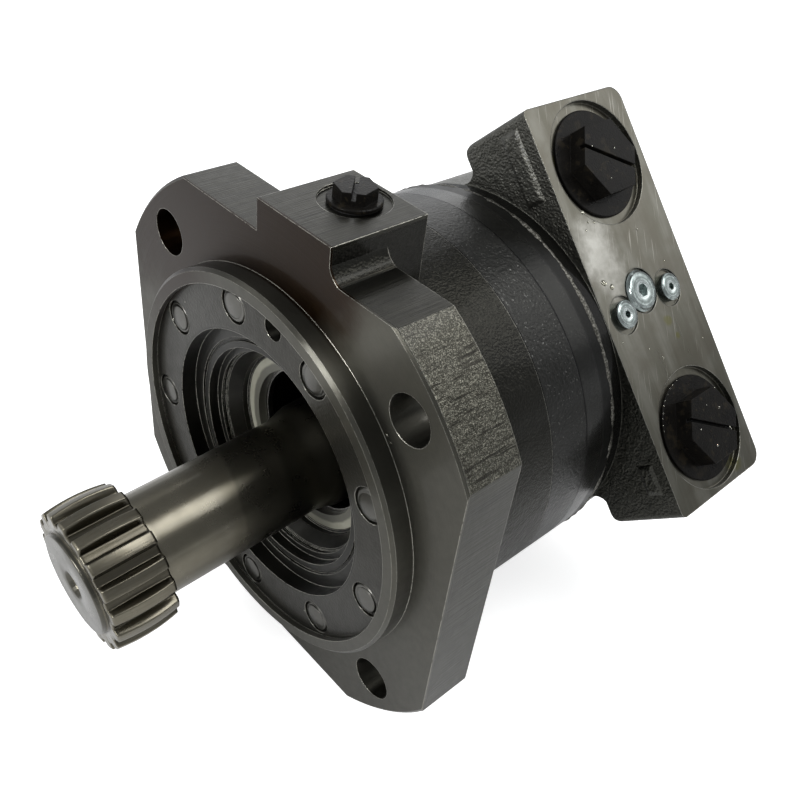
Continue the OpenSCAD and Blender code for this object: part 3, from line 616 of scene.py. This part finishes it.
def cover_finish():
    """Rough casting, the milled port face, and painted shade on the band between bead and port bar.
    """
    f = Finish("cover_iron")
    height, along = measure(f, PORT_NORMAL), measure(f, PORT_ALONG)
    facing = (f.face[1] * PORT_NORMAL[1] + f.face[2] * PORT_NORMAL[2]).past(0.9, 0.05)
    cylinder = f.radius.past(BAND_R[0], 0.3 * MM), f.radius.past(BAND_R[1], 0.3 * MM).flip()
    painted_shade_strip = f.x.past(-BAR_FRONT + 0.15 * MM, 0.05 * MM) * cylinder[0] * cylinder[1]
    milled = height.past(PORT_FACE - 2.1 * MM, 0.02 * MM) * facing * painted_shade_strip.flip()
    lumps = f.noise(2.6, detail=5.0)
    grit = f.noise(0.5, detail=3.0)
    stain = f.noise(12.0, detail=5.0)
    blotch = f.noise(5.0, detail=5.0)
    bright, streaks = port_face_colour(f, along, stain, blotch)
    brush = f.noise(0.5, detail=2.0, place=f.join(f.x, along * 0.04, 0.0))
    f.bump((f.grains(0.8) * 0.5 + lumps) * milled.flip(), 0.42)
    f.bump(grit * milled.flip(), 0.08)
    f.bump(brush * milled, 0.016)
    f.bump(streaks * milled, 0.10)
    f.rounded_edges(0.6)
    # Painted light and shade: the casting is lighter towards the bar's upper end and darker towards
    # its lower end, with lumps and stains mixed in.
    lower_painted_shade = f.mix(lumps, f.mix(stain, (0.048, 0.048, 0.041), (0.074, 0.073, 0.062)),
                  (0.028, 0.028, 0.023))
    upper_painted_light = f.mix(lumps, (0.17, 0.168, 0.15), (0.07, 0.069, 0.06))
    cast = f.mix(along.past(25 * MM, 20 * MM) * 0.7, lower_painted_shade, upper_painted_light)
    # Painted shade: the band between the bead and the port bar is darkened.
    cast = f.mix(painted_shade_strip, cast, (0.008, 0.008, 0.007))
    upper = height.past(PORT_FACE - 1.2 * MM, 0.1 * MM)
    # Painted highlights along the sharp edges of the port face.
    glint = f.glint() * upper * painted_shade_strip.flip()
    colour = f.mix(glint, f.mix(milled, cast, bright), (0.36, 0.355, 0.32))
    roughness = f.mix(milled, f.mix(lumps, 0.32, 0.54), f.mix(streaks, 0.22, 0.40)) + painted_shade_strip * 0.25
    return f.done(colour, roughness, 1.0, Coat_Weight=0.2, Coat_Roughness=0.12)


def flash_finish():
    """Gritty iron with bright crumbs, for the bead."""
    f = Finish("flash_iron")
    grit = f.noise(0.6, detail=4.0)
    f.bump(grit, 0.25)
    colour = f.mix(grit.past(0.5, 0.12), (0.045, 0.044, 0.037), (0.17, 0.165, 0.148))
    return f.done(colour, f.mix(grit, 0.40, 0.60), 1.0)


section_iron = section_finish()
wear("stator_ring", section_iron)
wear("manifold_plate", section_iron)
cover_iron = cover_finish()
wear("end_cover", cover_iron)
print("sections and cover finished, port face at", round(PORT_FACE / MM, 2), "mm")

# %% [markdown]
# ## Steels
#
# The bolts are dark, the rings bright. They differ in colour, in how rough they are and in how
# strongly the tool drew out their highlights, so one function with those three knobs makes them
# all. The small socket plugs are zinc plated and turned, and their finish is a function of its own,
# which counts rings from each plug's own axis.

# %% Steel finishes
def steel_finish(name, colour, shade, rough_low, rough_high, mark_mm, mark_depth, drawn=0.4):
    """Steel with marks round the shaft and cloudy colour between two shades."""
    f = Finish(name)
    marks = turned_marks(f, mark_mm)
    stain = f.noise(6.0, detail=5.0)
    f.bump(marks, mark_depth)
    f.bump(f.noise(0.35, detail=2.0), mark_depth * 0.6)
    f.rounded_edges(0.25)
    streak(f, drawn)
    return f.done(f.mix(stain, colour, shade), f.mix(stain, rough_low, rough_high), 1.0,
                  Coat_Weight=0.2, Coat_Roughness=0.1)


bright_steel = steel_finish("bright_steel", (0.42, 0.41, 0.39), (0.33, 0.32, 0.30),
                            0.18, 0.32, 0.3, 0.004)
dark_steel = steel_finish("dark_steel", (0.12, 0.12, 0.12), (0.08, 0.08, 0.08),
                          0.25, 0.4, 0.4, 0.006)
bolt_steel = steel_finish("bolt_steel", (0.120, 0.117, 0.105), (0.070, 0.068, 0.061),
                          0.28, 0.45, 0.5, 0.02, 0.0)


def zinc_finish(plugs):
    """Plating with rings round each plug's own axis: bevel, painted shade in a groove, painted
    highlight on the socket lip.
    """
    f = Finish("zinc")
    along = measure(f, PORT_ALONG)
    shares = []
    for node, head_mm in plugs:
        low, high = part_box(node)
        middle = [(a + b) / 2 for a, b in zip(low, high)]
        beside = middle[1] * PORT_ALONG[1] + middle[2] * PORT_ALONG[2]
        shares.append((f.x - middle[0]).hypot(along - beside) / (head_mm * MM))
    share = reduce(Wire.lowest, shares)
    stain = f.noise(1.6, detail=5.0)
    rings = f.noise(1.0, detail=3.0, place=f.join(share * 9 * MM, 0.0, 0.0))
    groove_painted_shade = (share - 0.60).abs().past(0.05, 0.03).flip()
    lip_painted_highlight = share.past(0.46, 0.05).flip()
    f.bump(share.past(0.84, 0.12).flip(), 0.5)
    f.bump(share.past(0.40, 0.12), 0.25)
    f.bump(rings, 0.03)
    f.bump(f.noise(0.6, detail=3.0), 0.03)
    colour = f.mix(stain.past(0.5, 0.2), (0.34, 0.385, 0.375), (0.16, 0.19, 0.185))
    # Painted shade: a dark ring where a groove would lie in shade.
    colour = f.mix(groove_painted_shade * 0.7, colour, (0.10, 0.12, 0.115))
    # Painted highlight: a bright ring on the socket lip.
    colour = f.mix(lip_painted_highlight * rings.past(0.45, 0.15), colour, (0.60, 0.66, 0.65))
    return f.done(colour, f.mix(stain, 0.14, 0.38), 1.0, Coat_Weight=0.3, Coat_Roughness=0.06)


zinc = zinc_finish((("relief_plug", 6.9), ("check_plug_a", 4.6), ("check_plug_b", 4.6)))
for node in ("rotor", "stop_ring", "relief_poppet", "relief_spring",
             "check_ball_a", "check_ball_b"):
    wear(node, bright_steel)
for number in range(1, 10):
    wear(f"roller_{number}", bright_steel)
for node in ("wear_plate", "commutator", "commutator_ring"):
    wear(node, dark_steel)
for node in ("relief_plug", "check_plug_a", "check_plug_b", "seal_washers"):
    wear(node, zinc)
wear("assembly_bolts", bolt_steel)
print("steels finished")

# %% [markdown]
# ## Plastic and rubber
#
# The shipping plugs are black moulded plastic with a low sheen and small scuffs, the guide ring
# is a pale filled plastic with painted shade towards its bore, and the seals are matt rubber.

# %% Plastic and rubber finishes
def plastic_finish(name, colour, shade, rough_low, rough_high, grain_mm, depth_mm, gloss=0.5):
    """Moulded plastic: a faint grain, scuffs and cloudy sheen."""
    f = Finish(name)
    grain = f.grains(grain_mm)
    stain = f.noise(5.0, detail=5.0)
    rubbed = f.noise(4.0, detail=6.0).past(0.60, 0.05) * 0.6
    scuff = f.noise(1.3, detail=4.0).past(0.66, 0.05).highest(rubbed)
    f.bump(grain, depth_mm)
    f.bump(stain, 0.05)
    f.rounded_edges(0.3)
    red, green, blue = (min(1.0, 2.6 * c) for c in shade)
    colour = f.mix(scuff * 0.7, f.mix(stain, colour, shade), (red, green * 0.9, blue * 0.7))
    return f.done(colour, f.mix(stain, rough_low, rough_high), 0.0, Specular_IOR_Level=gloss)


plug_plastic = plastic_finish("plug_plastic", (0.002, 0.002, 0.0022), (0.010, 0.009, 0.0075),
                              0.18, 0.42, 0.6, 0.05, 0.07)


def guide_finish():
    """Pale filled plastic, with painted shade darkening it towards its bore."""
    f = Finish("guide_plastic")
    stain = f.noise(5.0, detail=5.0)
    # Painted shade: the ring is darkened towards its bore.
    painted_shading_step = (f.radius + stain * 1.5 * MM).past(28.3 * MM, 0.5 * MM).flip()
    pale = f.mix(stain, (0.34, 0.335, 0.275), (0.20, 0.195, 0.15))
    f.bump(f.grains(0.4), 0.01)
    f.rounded_edges(0.3)
    return f.done(f.mix(painted_shading_step * 0.85, pale, (0.050, 0.049, 0.038)), f.mix(stain, 0.3, 0.5), 0.0)


guide_plastic = guide_finish()
seal_rubber = plastic_finish("seal_rubber", (0.012, 0.012, 0.012), (0.020, 0.020, 0.019),
                             0.5, 0.7, 0.6, 0.02)
for node in ("port_plug_a", "port_plug_b", "drain_plug"):
    wear(node, plug_plastic)
for node in ("guide_ring", "commutator_seal"):
    wear(node, guide_plastic)
for node in ("section_seals", "drain_plug_seal", "socket_plug_seals"):
    wear(node, seal_rubber)
print("plastic and rubber finished")

# %% [markdown]
# ## Surfaces from formulas
#
# Every new piece below is a skin over a grid of points: rows run along the piece and columns run
# round or across it. The points come from whole-array arithmetic, so a shape is one formula and
# not a list of vertices. Where a row shrinks to the axis, its points fall together and are merged,
# which closes the pole.

# %% Skin helper
def skin(name, points, material, body="motor", around=True):
    """Quads between neighbouring rows and columns of points (sheets, rows, columns, 3)."""
    rows, columns = points.shape[-3:-1]
    index = np.arange(points.size // 3).reshape(-1, rows, columns)
    beside = np.roll(index, -1, axis=2) if around else index[:, :, 1:]
    here = index if around else index[:, :, :-1]
    quads = [here[:, :-1], beside[:, :-1], beside[:, 1:], here[:, 1:]]
    quads = np.stack(quads, axis=-1).reshape(-1, 4)
    mesh = bpy.data.meshes.new(name)
    mesh.from_pydata(points.reshape(-1, 3).tolist(), [], quads.tolist())
    work = bmesh.new()
    work.from_mesh(mesh)
    bmesh.ops.remove_doubles(work, verts=work.verts, dist=0.0005 * MM)
    bmesh.ops.recalc_face_normals(work, faces=work.faces)
    work.to_mesh(mesh)
    work.free()
    mesh.shade_smooth()
    mesh.materials.append(material)
    piece = bpy.data.objects.new(name, mesh)
    scene.collection.objects.link(piece)
    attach(piece, body)
    print(name, "has", len(mesh.polygons), "faces")
    return piece


def between(start, stop, count):
    """Evenly spaced numbers, both ends included."""
    return np.linspace(start, stop, count)


# %% [markdown]
# ## The drive link
#
# The link is the part that everyone looks at: a thick steel bar with a short crowned gear on its
# end. Crowned means that each tooth is fattest in the middle, so that the link can rock in its
# spline as the rotor orbits. A modelling program would cut 17 gaps out of a barrel. On a grid it
# is simpler: at each station along the link there is a root radius and a tip radius, and a wave
# round the link says how far between the two the surface lies. Where both radii are equal, the
# same grid is the plain shank. The wave's edges are rounded, so the teeth catch a thin line of
# light as ground teeth do.

# %% Drive link
TEETH = 17
TOOTH_TURN = 75.5
LINK_DROOP = math.radians(3.0)
LINK_REACH = 130.3
SHANK_R = 16.0
HEAD = {"root": 19.2, "tip": 22.2, "drop": 0.9, "front": LINK_REACH - 1.4, "length": 19.1}
INNER = {"root": 16.8, "tip": 19.2, "drop": 0.45, "front": 7.0, "length": 14.0}
link_joint = next(j for j in frame["record"]["behaviour"]["joints"] if j["name"] == "link_tilt")
LINK_PIVOT = np.array(link_joint["pos_m"]) / MM
PAINTED_LIGHT_AT, PAINTED_SHADE_AT = 80.5, 62.5
PAINTED_LIGHT_SLANT = 0.28
COLLAR_DEPTH = 12.7


def link_finish():
    """Straw brown steel: painted light near the head, two darker bands of painted shade, painted
    shade in the gaps.
    """
    f = Finish("link_steel")
    far, up = f.x - float(LINK_PIVOT[0]) * MM, f.z - float(LINK_PIVOT[2]) * MM
    along = far * math.cos(LINK_DROOP) - up * math.sin(LINK_DROOP)
    rise = far * math.sin(LINK_DROOP) + up * math.cos(LINK_DROOP)
    radius = f.y.hypot(rise)
    stain = f.noise(6.0, detail=5.0)
    slant = f.y * PAINTED_LIGHT_SLANT
    # Painted light and shade: the shank keeps its full colour near the head and darkens in two soft
    # steps farther from it.
    ground_and_painted_light = (along - slant + stain * 3 * MM).past(PAINTED_LIGHT_AT * MM, 0.9 * MM)
    painted_shading_step = (along - slant).past(PAINTED_SHADE_AT * MM, 1.5 * MM)
    head = along.past((HEAD["front"] - HEAD["length"]) * MM, 0.3 * MM)
    behind_tip = along.past((LINK_REACH - 1.6) * MM, 0.1 * MM).flip()
    gap_painted_shade = radius.past((HEAD["root"] + 1.3) * MM, 0.9 * MM).flip() * head * behind_tip
    lines = f.noise(0.6, detail=3.0, place=f.join(f.x * 0.04, f.y, f.z)).past(0.5, 0.2)
    steel = f.mix(stain, (0.175, 0.162, 0.126), (0.120, 0.111, 0.085))
    colour = f.mix(ground_and_painted_light * 0.40 + painted_shading_step * 0.27 + 0.33, (0.036, 0.035, 0.028), steel)
    tip = along.past((LINK_REACH - 1.2) * MM, 0.1 * MM)
    colour = f.mix(head * lines * 0.30, colour, (0.070, 0.060, 0.038))
    # Painted shade in the gaps between the teeth.
    colour = f.mix(gap_painted_shade * 0.55, colour, (0.020, 0.017, 0.010))
    colour = f.mix(tip * 0.9, colour, (0.072, 0.069, 0.058))
    rings = f.noise(0.3, detail=2.0, place=f.join(along, 0.0, 0.0))
    f.bump(rings * head.flip(), 0.004)
    f.bump(lines * head, 0.012)
    f.rounded_edges(0.25)
    streak(f, 0.6)
    return f.done(colour, f.mix(stain, 0.22, 0.36), 1.0, Coat_Weight=0.2, Coat_Roughness=0.1)


def tooth_columns():
    """Angles round the link, crowded on the flanks, and the wave: 0 in a gap, 1 on a tooth."""
    half = 180.0 / TEETH
    one_side = np.array([0.0, 1.8, 3.1, 3.6, 4.0, 4.5, 5.1, 5.7, 6.1, 6.5, 7.0, 8.6])
    one_gap = np.concatenate([-one_side[:0:-1], one_side, [half]])
    step = np.clip((np.abs(one_gap) - 3.4) / 3.2, 0, 1)
    wave = step * step * (3 - 2 * step)
    starts = TOOTH_TURN + (np.arange(TEETH) + 0.5) * 2 * half
    return np.radians((starts[:, None] + one_gap).ravel()), np.tile(wave, TEETH)


def toothed_rows(part, rows=22, bevel=0.7):
    """Stations of one set of teeth: the tips follow a parabola, with a bevel at each end."""
    share = np.concatenate([[-1, -1], between(-1, 1, rows), [1, 1]])
    share[1] = share[2] = -1 + 2 * bevel * 0.35 / part["length"]
    share[-2] = share[-3] = -share[1]
    share[0], share[-1] = -1, 1
    s = part["front"] - part["length"] / 2 + share * part["length"] / 2
    tip = part["tip"] - part["drop"] * share ** 2
    tip[[0, -1]] -= bevel
    root = np.full_like(tip, part["root"])
    root[[0, -1]] -= 0.25
    return s, root, tip


def plain_rows(stations):
    """Stations where root and tip are one radius: pairs of place along the link and radius."""
    s, radius = np.array(stations, dtype=float).T
    return s, radius, radius


def link_points():
    """Radius = root + (tip - root) * wave, round a bar whose axis droops from the pivot."""
    collar_end = LINK_PIVOT[0] * -1 - COLLAR_DEPTH
    head_back = HEAD["front"] - HEAD["length"]
    sections = [
        plain_rows([(-30, 0), (-30, 6.5), (-29.6, 7.1), (-28.5, 8), (-7.5, 8), (-7, 15.3)]),
        toothed_rows(INNER, rows=10, bevel=0.4),
        plain_rows([(7, 15.3), (11, 15.3), (14, 18), (collar_end - 2, 18), (collar_end, 17.5),
                    (collar_end + 2, 16.8), (collar_end + 4, 16.4), (collar_end + 5.5, 16)]),
        plain_rows([(s, SHANK_R) for s in between(collar_end + 8, head_back - 2, 14)]),
        plain_rows([(head_back - 0.5, SHANK_R), (head_back + 0.1, SHANK_R + 0.15),
                    (head_back + 0.15, 18.2)]),
        toothed_rows(HEAD),
        plain_rows([(HEAD["front"], 16.5), (HEAD["front"] - 0.35, 16.1),
                    (HEAD["front"] - 0.35, 15.7), (HEAD["front"], 15.6),
                    (LINK_REACH - 0.5, 15.6), (LINK_REACH - 0.12, 15.45), (LINK_REACH, 15.1),
                    (LINK_REACH, 8), (LINK_REACH, 4.8), (LINK_REACH - 0.2, 4.45),
                    (LINK_REACH - 4.8, 2.05), (LINK_REACH - 9.8, 2), (LINK_REACH - 10, 0)])]
    s, root, tip = (np.concatenate(column) for column in zip(*sections))
    angle, wave = tooth_columns()
    radius = root[:, None] + (tip - root)[:, None] * wave
    side, rise = radius * np.cos(angle), radius * np.sin(angle)
    along = np.broadcast_to(s[:, None], radius.shape)
    x = along * math.cos(LINK_DROOP) + rise * math.sin(LINK_DROOP)
    z = rise * math.cos(LINK_DROOP) - along * math.sin(LINK_DROOP)
    return (np.stack([x, side, z], axis=-1) + LINK_PIVOT) * MM


link_steel = link_finish()
wear("drive_link", link_steel)
link = skin("drive_link_ground", link_points(), link_steel, "link")
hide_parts("drive_link")

# %% [markdown]
# ## Flash on the end cover
#
# Where the halves of the sand mould met, iron crept between them and left a thin rough bead round
# the cover's front rim. It stands over the joint with the manifold plate. It could be displaced out
# of the cover, but a bead is a shape of its own: a small tube carried round a circle, whose
# thickness wanders. The wander is random numbers from a fixed seed, with the fast ripples taken out
# in the Fourier plane, so it joins up all round and is the same in each run.

# %% Flash bead
def wander(rows, columns, reach, seed):
    """Random heights from -1 to 1 on a grid that wraps, softened over `reach` cells."""
    rough = np.random.default_rng(seed).standard_normal((rows, columns))
    down, across = np.fft.fftfreq(rows)[:, None], np.fft.fftfreq(columns)[None, :]
    soft = np.exp(-5 * reach ** 2 * (down ** 2 + across ** 2))
    heights = np.fft.ifft2(np.fft.fft2(rough) * soft).real
    return heights / np.abs(heights).max()


def flash_points(x, ring_radius, thickness, rows=900, columns=9):
    """A circle round the shaft; round that, circles of radius thickness * (1 + wander)."""
    round_shaft = between(0, 2 * math.pi, rows + 1)[:, None]
    turn = between(0, 2 * math.pi, columns + 1)[None, :-1]
    grain = 1 + 0.35 * wander(rows, columns, 2, 3) + 0.35 * wander(rows, columns, 14, 5)
    tube = thickness * np.concatenate([grain, grain[:1]])
    radius = ring_radius + tube * np.cos(turn)
    points = [x + tube * np.sin(turn), radius * np.cos(round_shaft), radius * np.sin(round_shaft)]
    return np.stack(points, axis=-1) * MM


FLASH_X = SEAMS[2]
FLASH_R = 65.1
FLASH_THICKNESS = 1.05
skin("casting_flash", flash_points(FLASH_X, FLASH_R, FLASH_THICKNESS), flash_finish())

# %% [markdown]
# ## Casting pads
#
# A foundry leaves a raised pad where a mark may be stamped later. These two are bare: one near the
# upper end of the port bar's front face and a small one near its lower end. Each is a height over
# a flat grid: a soft step up from its outline, with the grain of sand on it.

# %% Casting pads
PAD_GRID = 0.3
PAD_EDGE = 2.0
PAD_SUNK = 0.1


def pad_points(along, height, length, width, lift, seed):
    """Height = lift * soft step of the distance to the outline, with wander, on the bar's front."""
    rows, columns = int(length / PAD_GRID), int(width / PAD_GRID)
    u = between(-length / 2, length / 2, rows)[:, None]
    v = between(-width / 2, width / 2, columns)[None, :]
    inwards = np.minimum(length / 2 - np.abs(u), width / 2 - np.abs(v))
    step = np.clip(inwards / PAD_EDGE, 0, 1)
    sandy_lift = lift + PAD_SUNK + 0.12 * wander(rows, columns, 2, seed)
    rise = (step * step * (3 - 2 * step)) * sandy_lift - PAD_SUNK
    place = (along + u)[..., None] * PORT_ALONG + (height + v)[..., None] * PORT_NORMAL
    place = place + (-BAR_FRONT / MM + rise)[..., None] * np.array([1.0, 0.0, 0.0])
    return place * MM


for name, sizes in (("casting_pad_upper", (52.3, 56.9, 24.5, 8.6, 0.75, 11)),
                    ("casting_pad_lower", (-53.6, 58.2, 11.5, 7.0, 0.6, 12))):
    skin(name, pad_points(*sizes), cover_iron, around=False)

# %% [markdown]
# ## Bolt ends
#
# The ends of the nine bolts show in the recess. Each was cropped, not turned, so each face leans
# and bulges a little its own way and answers the lamps differently from its neighbours. They are
# low lenses: one formula gives all nine at once, because numpy can carry a whole row of bolts along
# as one more axis of the array.

# %% Bolt ends
LENS_SUNK = 0.1


def lenses(centres, normals, radii, heights, rings=6, columns=18, seed=1, ragged=0.08):
    """Closed lenses: height * (1 - s^2) over an outline radius * (1 + ragged * waves)."""
    random = np.random.default_rng(seed)
    count = len(centres)
    helper = np.where(np.abs(normals[:, :1]) > 0.9, [[0.0, 0.0, 1.0]], [[1.0, 0.0, 0.0]])
    first = np.cross(normals, helper)
    first /= np.linalg.norm(first, axis=1, keepdims=True)
    second = np.cross(normals, first)
    turn = between(0, 2 * math.pi, columns + 1)[:-1]
    phase = random.uniform(0, 2 * math.pi, (2, count, 1))
    outline = 1 + ragged * (np.sin(2 * turn + phase[0]) + 0.6 * np.sin(3 * turn + phase[1]))
    share = np.concatenate([between(0, 1, rings), [0.0]])[None, :, None]
    lift = np.asarray(heights)[:, None, None] * (1 - share ** 2)
    lift[:, -1] = -LENS_SUNK
    reach = np.asarray(radii)[:, None, None] * share * outline[:, None, :]
    points = centres[:, None, None, :] + lift[..., None] * normals[:, None, None, :]
    points = points + (reach * np.cos(turn))[..., None] * first[:, None, None, :]
    return (points + (reach * np.sin(turn))[..., None] * second[:, None, None, :]) * MM


BOLTS = 9
BOLT_CIRCLE = 52.9
BOLT_FACE = 4.2
BOLT_END_R, BOLT_END_LIFT = 4.55, 0.34
bolt_angles = np.radians(25 + 40 * np.arange(BOLTS))
bolt_middles = np.stack([np.full(BOLTS, BOLT_FACE), BOLT_CIRCLE * np.cos(bolt_angles),
                         BOLT_CIRCLE * np.sin(bolt_angles)], axis=1)
lean = np.random.default_rng(8).uniform(-0.035, 0.035, (BOLTS, 2))
bolt_normals = np.concatenate([np.ones((BOLTS, 1)), lean], axis=1)
bolt_normals /= np.linalg.norm(bolt_normals, axis=1, keepdims=True)
bolt_ends = lenses(bolt_middles, bolt_normals, np.full(BOLTS, BOLT_END_R),
                   np.full(BOLTS, BOLT_END_LIFT), columns=28, ragged=0.012)
skin("bolt_end_faces", bolt_ends, bolt_steel)

# %% [markdown]
# ## Drops of oil
#
# The motor has been run in: oil stands in drops on the port face, on and round the plugs, and on
# the flange's front. A drop is the same lens again, a few tenths of a millimetre high, with an
# outline that isn't quite round. Its finish is clear amber: light goes in, picks up a little colour
# from the depth, and comes back from the metal below.

# %% Oil drops
def oil_finish():
    """Clear amber oil: light passes through and picks up a little colour."""
    f = Finish("clear_oil")
    f.bump(f.noise(1.5, detail=2.0), 0.01)
    return f.done(f.mix(f.noise(2.0), (0.97, 0.96, 0.86), (0.92, 0.90, 0.74)), 0.04, 0.2,
                  IOR=1.47, Specular_IOR_Level=1.0, Transmission_Weight=1.0)


PLUG_TOP = PORT_FACE / MM + 5.2
RIM_TOP = PORT_FACE / MM - 1.0
on_port_face = [(-95.9, 10.4, 1.1), (-98.7, 8.2, 0.95), (-102.0, 28.9, 0.5), (-98.8, 32.8, 0.7),
                (-99.4, 29.6, 0.45), (-97.2, 27.4, 0.35), (-93.8, -9.0, 0.4),
                (-109.3, -19.6, 0.45), (-120.4, 21.5, 0.5), (-127.6, 8.4, 0.4),
                (-104.5, -14.8, 0.35), (-132.0, -20.5, 0.45)]
on_plugs = [(-117.6, 47.9, 0.5), (-107.8, 50.6, 0.35), (-110.8, 39.4, 0.4), (-119.8, -42.1, 0.45),
            (-112.0, -52.3, 0.5), (-107.2, -44.8, 0.35), (-121.4, -49.6, 0.3), (-114.2, -39.1, 0.3)]
rim_turn = np.radians(np.array([18, 24, 31, 37, 46, 52, 60, 69, 75, 84, 152, 160, 171, 204]))
RIM_X, RIM_ALONG, RIM_R = -114.4, -45.9, 17.3
on_rim = [(RIM_X + RIM_R * math.cos(a), RIM_ALONG + RIM_R * math.sin(a), 0.3) for a in rim_turn]
spots = np.array([(x, along, PORT_FACE / MM, r) for x, along, r in on_port_face]
                 + [(x, along, PLUG_TOP, r) for x, along, r in on_plugs]
                 + [(x, along, RIM_TOP, r) for x, along, r in on_rim])
beside_shaft = spots[:, 1:2] * PORT_ALONG[1:] + spots[:, 2:3] * PORT_NORMAL[1:]
drop_middles = np.concatenate([spots[:, :1], beside_shaft], axis=1)
drop_normals = np.repeat(PORT_NORMAL[None], len(spots), axis=0)
clear_oil = oil_finish()
cover_drops = lenses(drop_middles, drop_normals, spots[:, 3], spots[:, 3] * 0.6,
                     rings=5, columns=12, seed=4)
skin("oil_on_cover", cover_drops, clear_oil)
front_spots = np.array([(4.3, -47.6, 27.2, 0.6), (4.3, 24.6, -45.9, 0.5), (0.0, 47.0, 44.4, 0.5),
                        (0.0, 48.6, 42.9, 0.35), (4.3, 27.9, 48.2, 0.45), (4.3, 4.8, 57.4, 0.35),
                        (4.3, -39.5, 38.2, 0.4)])
front_normals = np.repeat([[1.0, 0.0, 0.0]], len(front_spots), axis=0)
front_drops = lenses(front_spots[:, :3], front_normals, front_spots[:, 3],
                     front_spots[:, 3] * 0.45, rings=5, columns=12, seed=6)
skin("oil_on_flange", front_drops, clear_oil)
